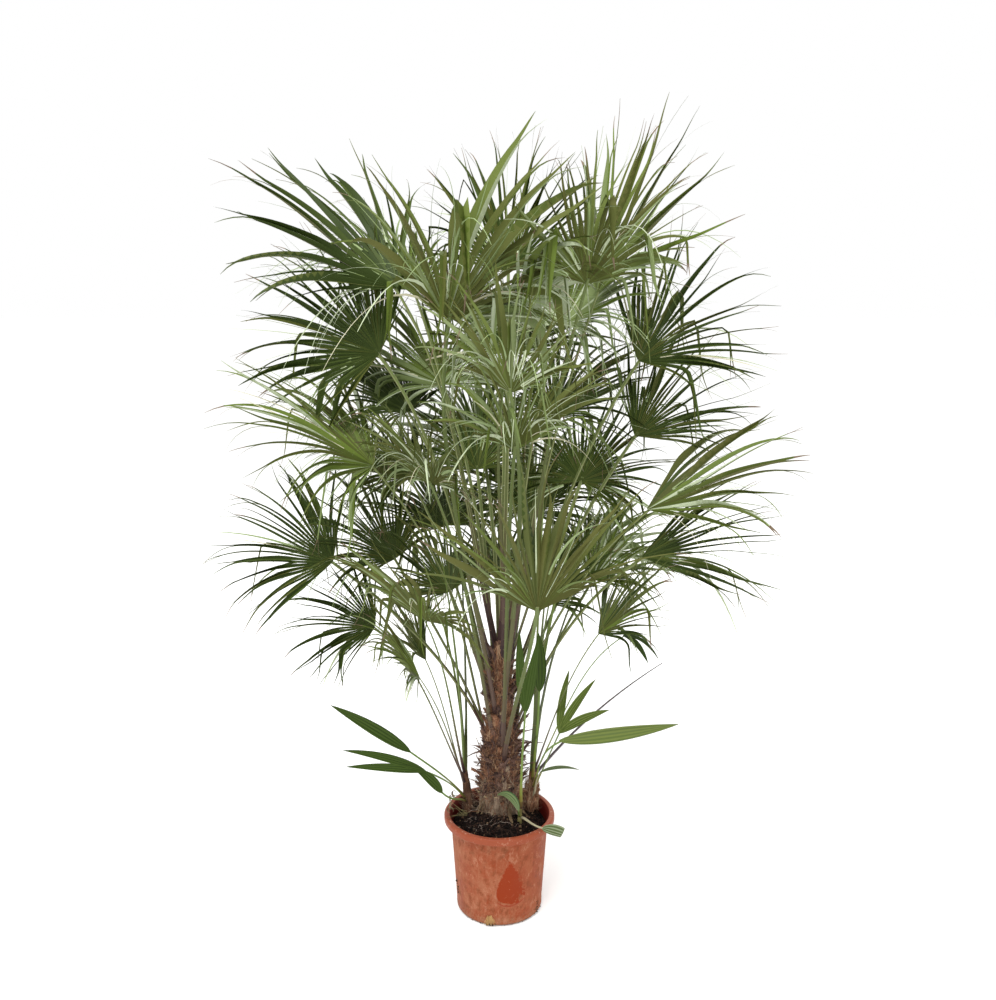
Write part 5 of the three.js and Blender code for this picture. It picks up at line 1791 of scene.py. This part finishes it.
def root_shape(draw, count, radii, slot):
    """Thin roots that wander over the heap, more of them at the front left of the trunk."""
    front = draw.uniform(size=count) < ROOTS_IN_FRONT
    near = draw.normal((-16, -34), (34, 24), (count, 2))
    start = np.where(front[:, None], near, draw.normal((0, 10), 55, (count, 2)))
    room = SOIL_RADIUS - ROOT_MARGINS[0]
    start = start * np.minimum(1, room / np.maximum(np.hypot(*start.T), 1))[:, None]
    first = draw.uniform(0, 2 * np.pi, count)[:, None]
    angle = first + np.cumsum(draw.normal(0, ROOT_WANDER, (count, ROOT_STATIONS)), axis=1)
    step = round_stem(angle)[..., :2] * draw.uniform(*ROOT_STEPS, count)[:, None, None]
    flat = start[:, None] + np.cumsum(step, axis=1)
    far = np.hypot(flat[..., 0], flat[..., 1])
    flat = flat * np.minimum(1, (SOIL_RADIUS - ROOT_MARGINS[1]) / far)[..., None]
    line = np.concatenate([flat, soil_height(np.hypot(flat[..., 0], flat[..., 1]))[..., None]], axis=-1)
    lift = draw.uniform(*ROOT_LIFTS, (count, 1)) * np.sin(np.linspace(0.2, 2.9, ROOT_STATIONS))
    rise = soil_rise(line.reshape(-1, 3)).reshape(lift.shape)
    line = line + UP * (rise + 1 + lift)[..., None]
    ahead = unit(np.gradient(line, axis=1))
    side = unit(np.cross(ahead, ASLANT))
    thick = draw.uniform(*radii, count)[:, None] * np.linspace(1, 0.4, ROOT_STATIONS)
    return tubes(rings_about(line, side, np.cross(ahead, side), thick, 4), slot)


def dry_bits(draw):
    """Dead stalks that lean from the left sucker to the rim, and curled strips of dead leaf on it.

    A stalk is a thin tube. A strip's line turns about a level axis by a steady angle, so it curls,
    and its half width is sin(pi t).
    """
    root = np.array(DEAD_ROOT) + draw.normal(0, (7, 9, 2), (DEAD_STALKS, 3))
    aim = np.array(DEAD_AIM) + draw.normal(0, (6, 26, 7), (DEAD_STALKS, 3))
    run = np.linalg.norm(aim - root, axis=-1)
    bend = draw.normal(0, 0.1, (DEAD_STALKS, 3))
    stalks = hair_tubes(root, unit(aim - root), bend, run * 1.15, draw.uniform(0.7, 1.2, DEAD_STALKS), 8)

    t = np.linspace(0, 1, STRIP_STATIONS)
    start = np.array(STRIP_START) + draw.normal(0, (4, 20, 2), (STRIPS, 3))
    curl = draw.uniform(2.2, 5.0, STRIPS)[:, None] * t + draw.uniform(-0.5, 1.0, STRIPS)[:, None]
    flat = round_stem(draw.uniform(1.9, 4.4, STRIPS))
    heading = flat[:, None] * np.cos(curl)[..., None] + UP * np.sin(curl)[..., None]
    line = start[:, None] + np.cumsum(heading * draw.uniform(1.8, 3.4, STRIPS)[:, None, None], axis=1)
    across = np.cross(UP, flat)[:, None]
    over = np.cross(heading, across)
    taper = np.maximum(np.sin(np.pi * t), 0.12)[None, :, None]
    wide = across * (draw.uniform(1.6, 3.4, STRIPS)[:, None, None] * taper)
    strips = np.stack([line + wide, line + over * 0.8, line - wide, line - over * 0.3], axis=2)
    return joined([tubes(stalks, 0), tubes(strips, 1)])


# Studio.


def make_studio():
    """Pale floor, one broad soft lamp above and in front, two weak fills, and an even pale surround."""
    corners = np.array([(-1, -1, 0), (1, -1, 0), (1, 1, 0), (-1, 1, 0)]) * FLOOR_HALF
    mesh = bpy.data.meshes.new("floor")
    mesh.from_pydata((corners * MM).tolist(), [], [(0, 1, 2, 3)])
    mesh.materials.append(floor_finish())
    floor = bpy.data.objects.new("floor", mesh)
    bpy.context.scene.collection.objects.link(floor)

    for name, place, target, size, power in LAMPS:
        light = bpy.data.lights.new(name, "AREA")
        light.size = size
        light.energy = power
        lamp = bpy.data.objects.new(name, light)
        bpy.context.scene.collection.objects.link(lamp)
        lamp.location = place
        away = np.array(place) - np.array(target)
        lamp.rotation_euler = (
            math.atan2(math.hypot(away[0], away[1]), away[2]), 0, math.atan2(away[0], -away[1]),
        )

    world = bpy.data.worlds.new("surround")
    world.use_nodes = True
    surround = world.node_tree.nodes["Background"]
    surround.inputs["Color"].default_value = (1.0, 1.0, 1.0, 1.0)
    surround.inputs["Strength"].default_value = SURROUND_LIGHT
    bpy.context.scene.world = world
    bpy.context.scene.view_settings.view_transform = "Standard"


def make_camera():
    """The camera, upright and turned down by its pitch, at the place where the photograph was taken."""
    camera = bpy.data.cameras.new("camera")
    camera.sensor_fit = "VERTICAL"
    camera.sensor_height = CAMERA_SENSOR
    camera.lens = CAMERA_LENS
    holder = bpy.data.objects.new("camera", camera)
    bpy.context.scene.collection.objects.link(holder)
    holder.location = CAMERA_PLACE
    holder.rotation_euler = (math.radians(90 - CAMERA_PITCH), 0, 0)
    bpy.context.scene.camera = holder


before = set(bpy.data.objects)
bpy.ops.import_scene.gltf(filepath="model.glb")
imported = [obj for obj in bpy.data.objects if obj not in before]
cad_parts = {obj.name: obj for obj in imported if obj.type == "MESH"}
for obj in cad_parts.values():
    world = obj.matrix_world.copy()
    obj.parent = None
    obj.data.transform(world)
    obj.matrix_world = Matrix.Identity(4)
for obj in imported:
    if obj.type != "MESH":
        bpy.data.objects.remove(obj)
cad_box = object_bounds()
make_camera()
make_studio()

adult_fans, young_fans = all_fans()
node_names = {fan.index: "frond_%02d" % (fan.index + 1) for fan in adult_fans}
node_names.update({fan.index: "young_leaf_%02d" % (number + 1) for number, fan in enumerate(young_fans)})
stem_nodes = {
    "trunk": ["trunk"], "left": ["sucker_left"], "right": ["sucker_right"], "front": ["sucker_front"],
}

make_pot()
make_soil(["soil"])
make_stems(stem_nodes)
make_blades(adult_fans, node_names, cad_box)
make_young_leaves(young_fans, node_names)
make_stalks(adult_fans, young_fans)
make_strands(adult_fans, cad_box)
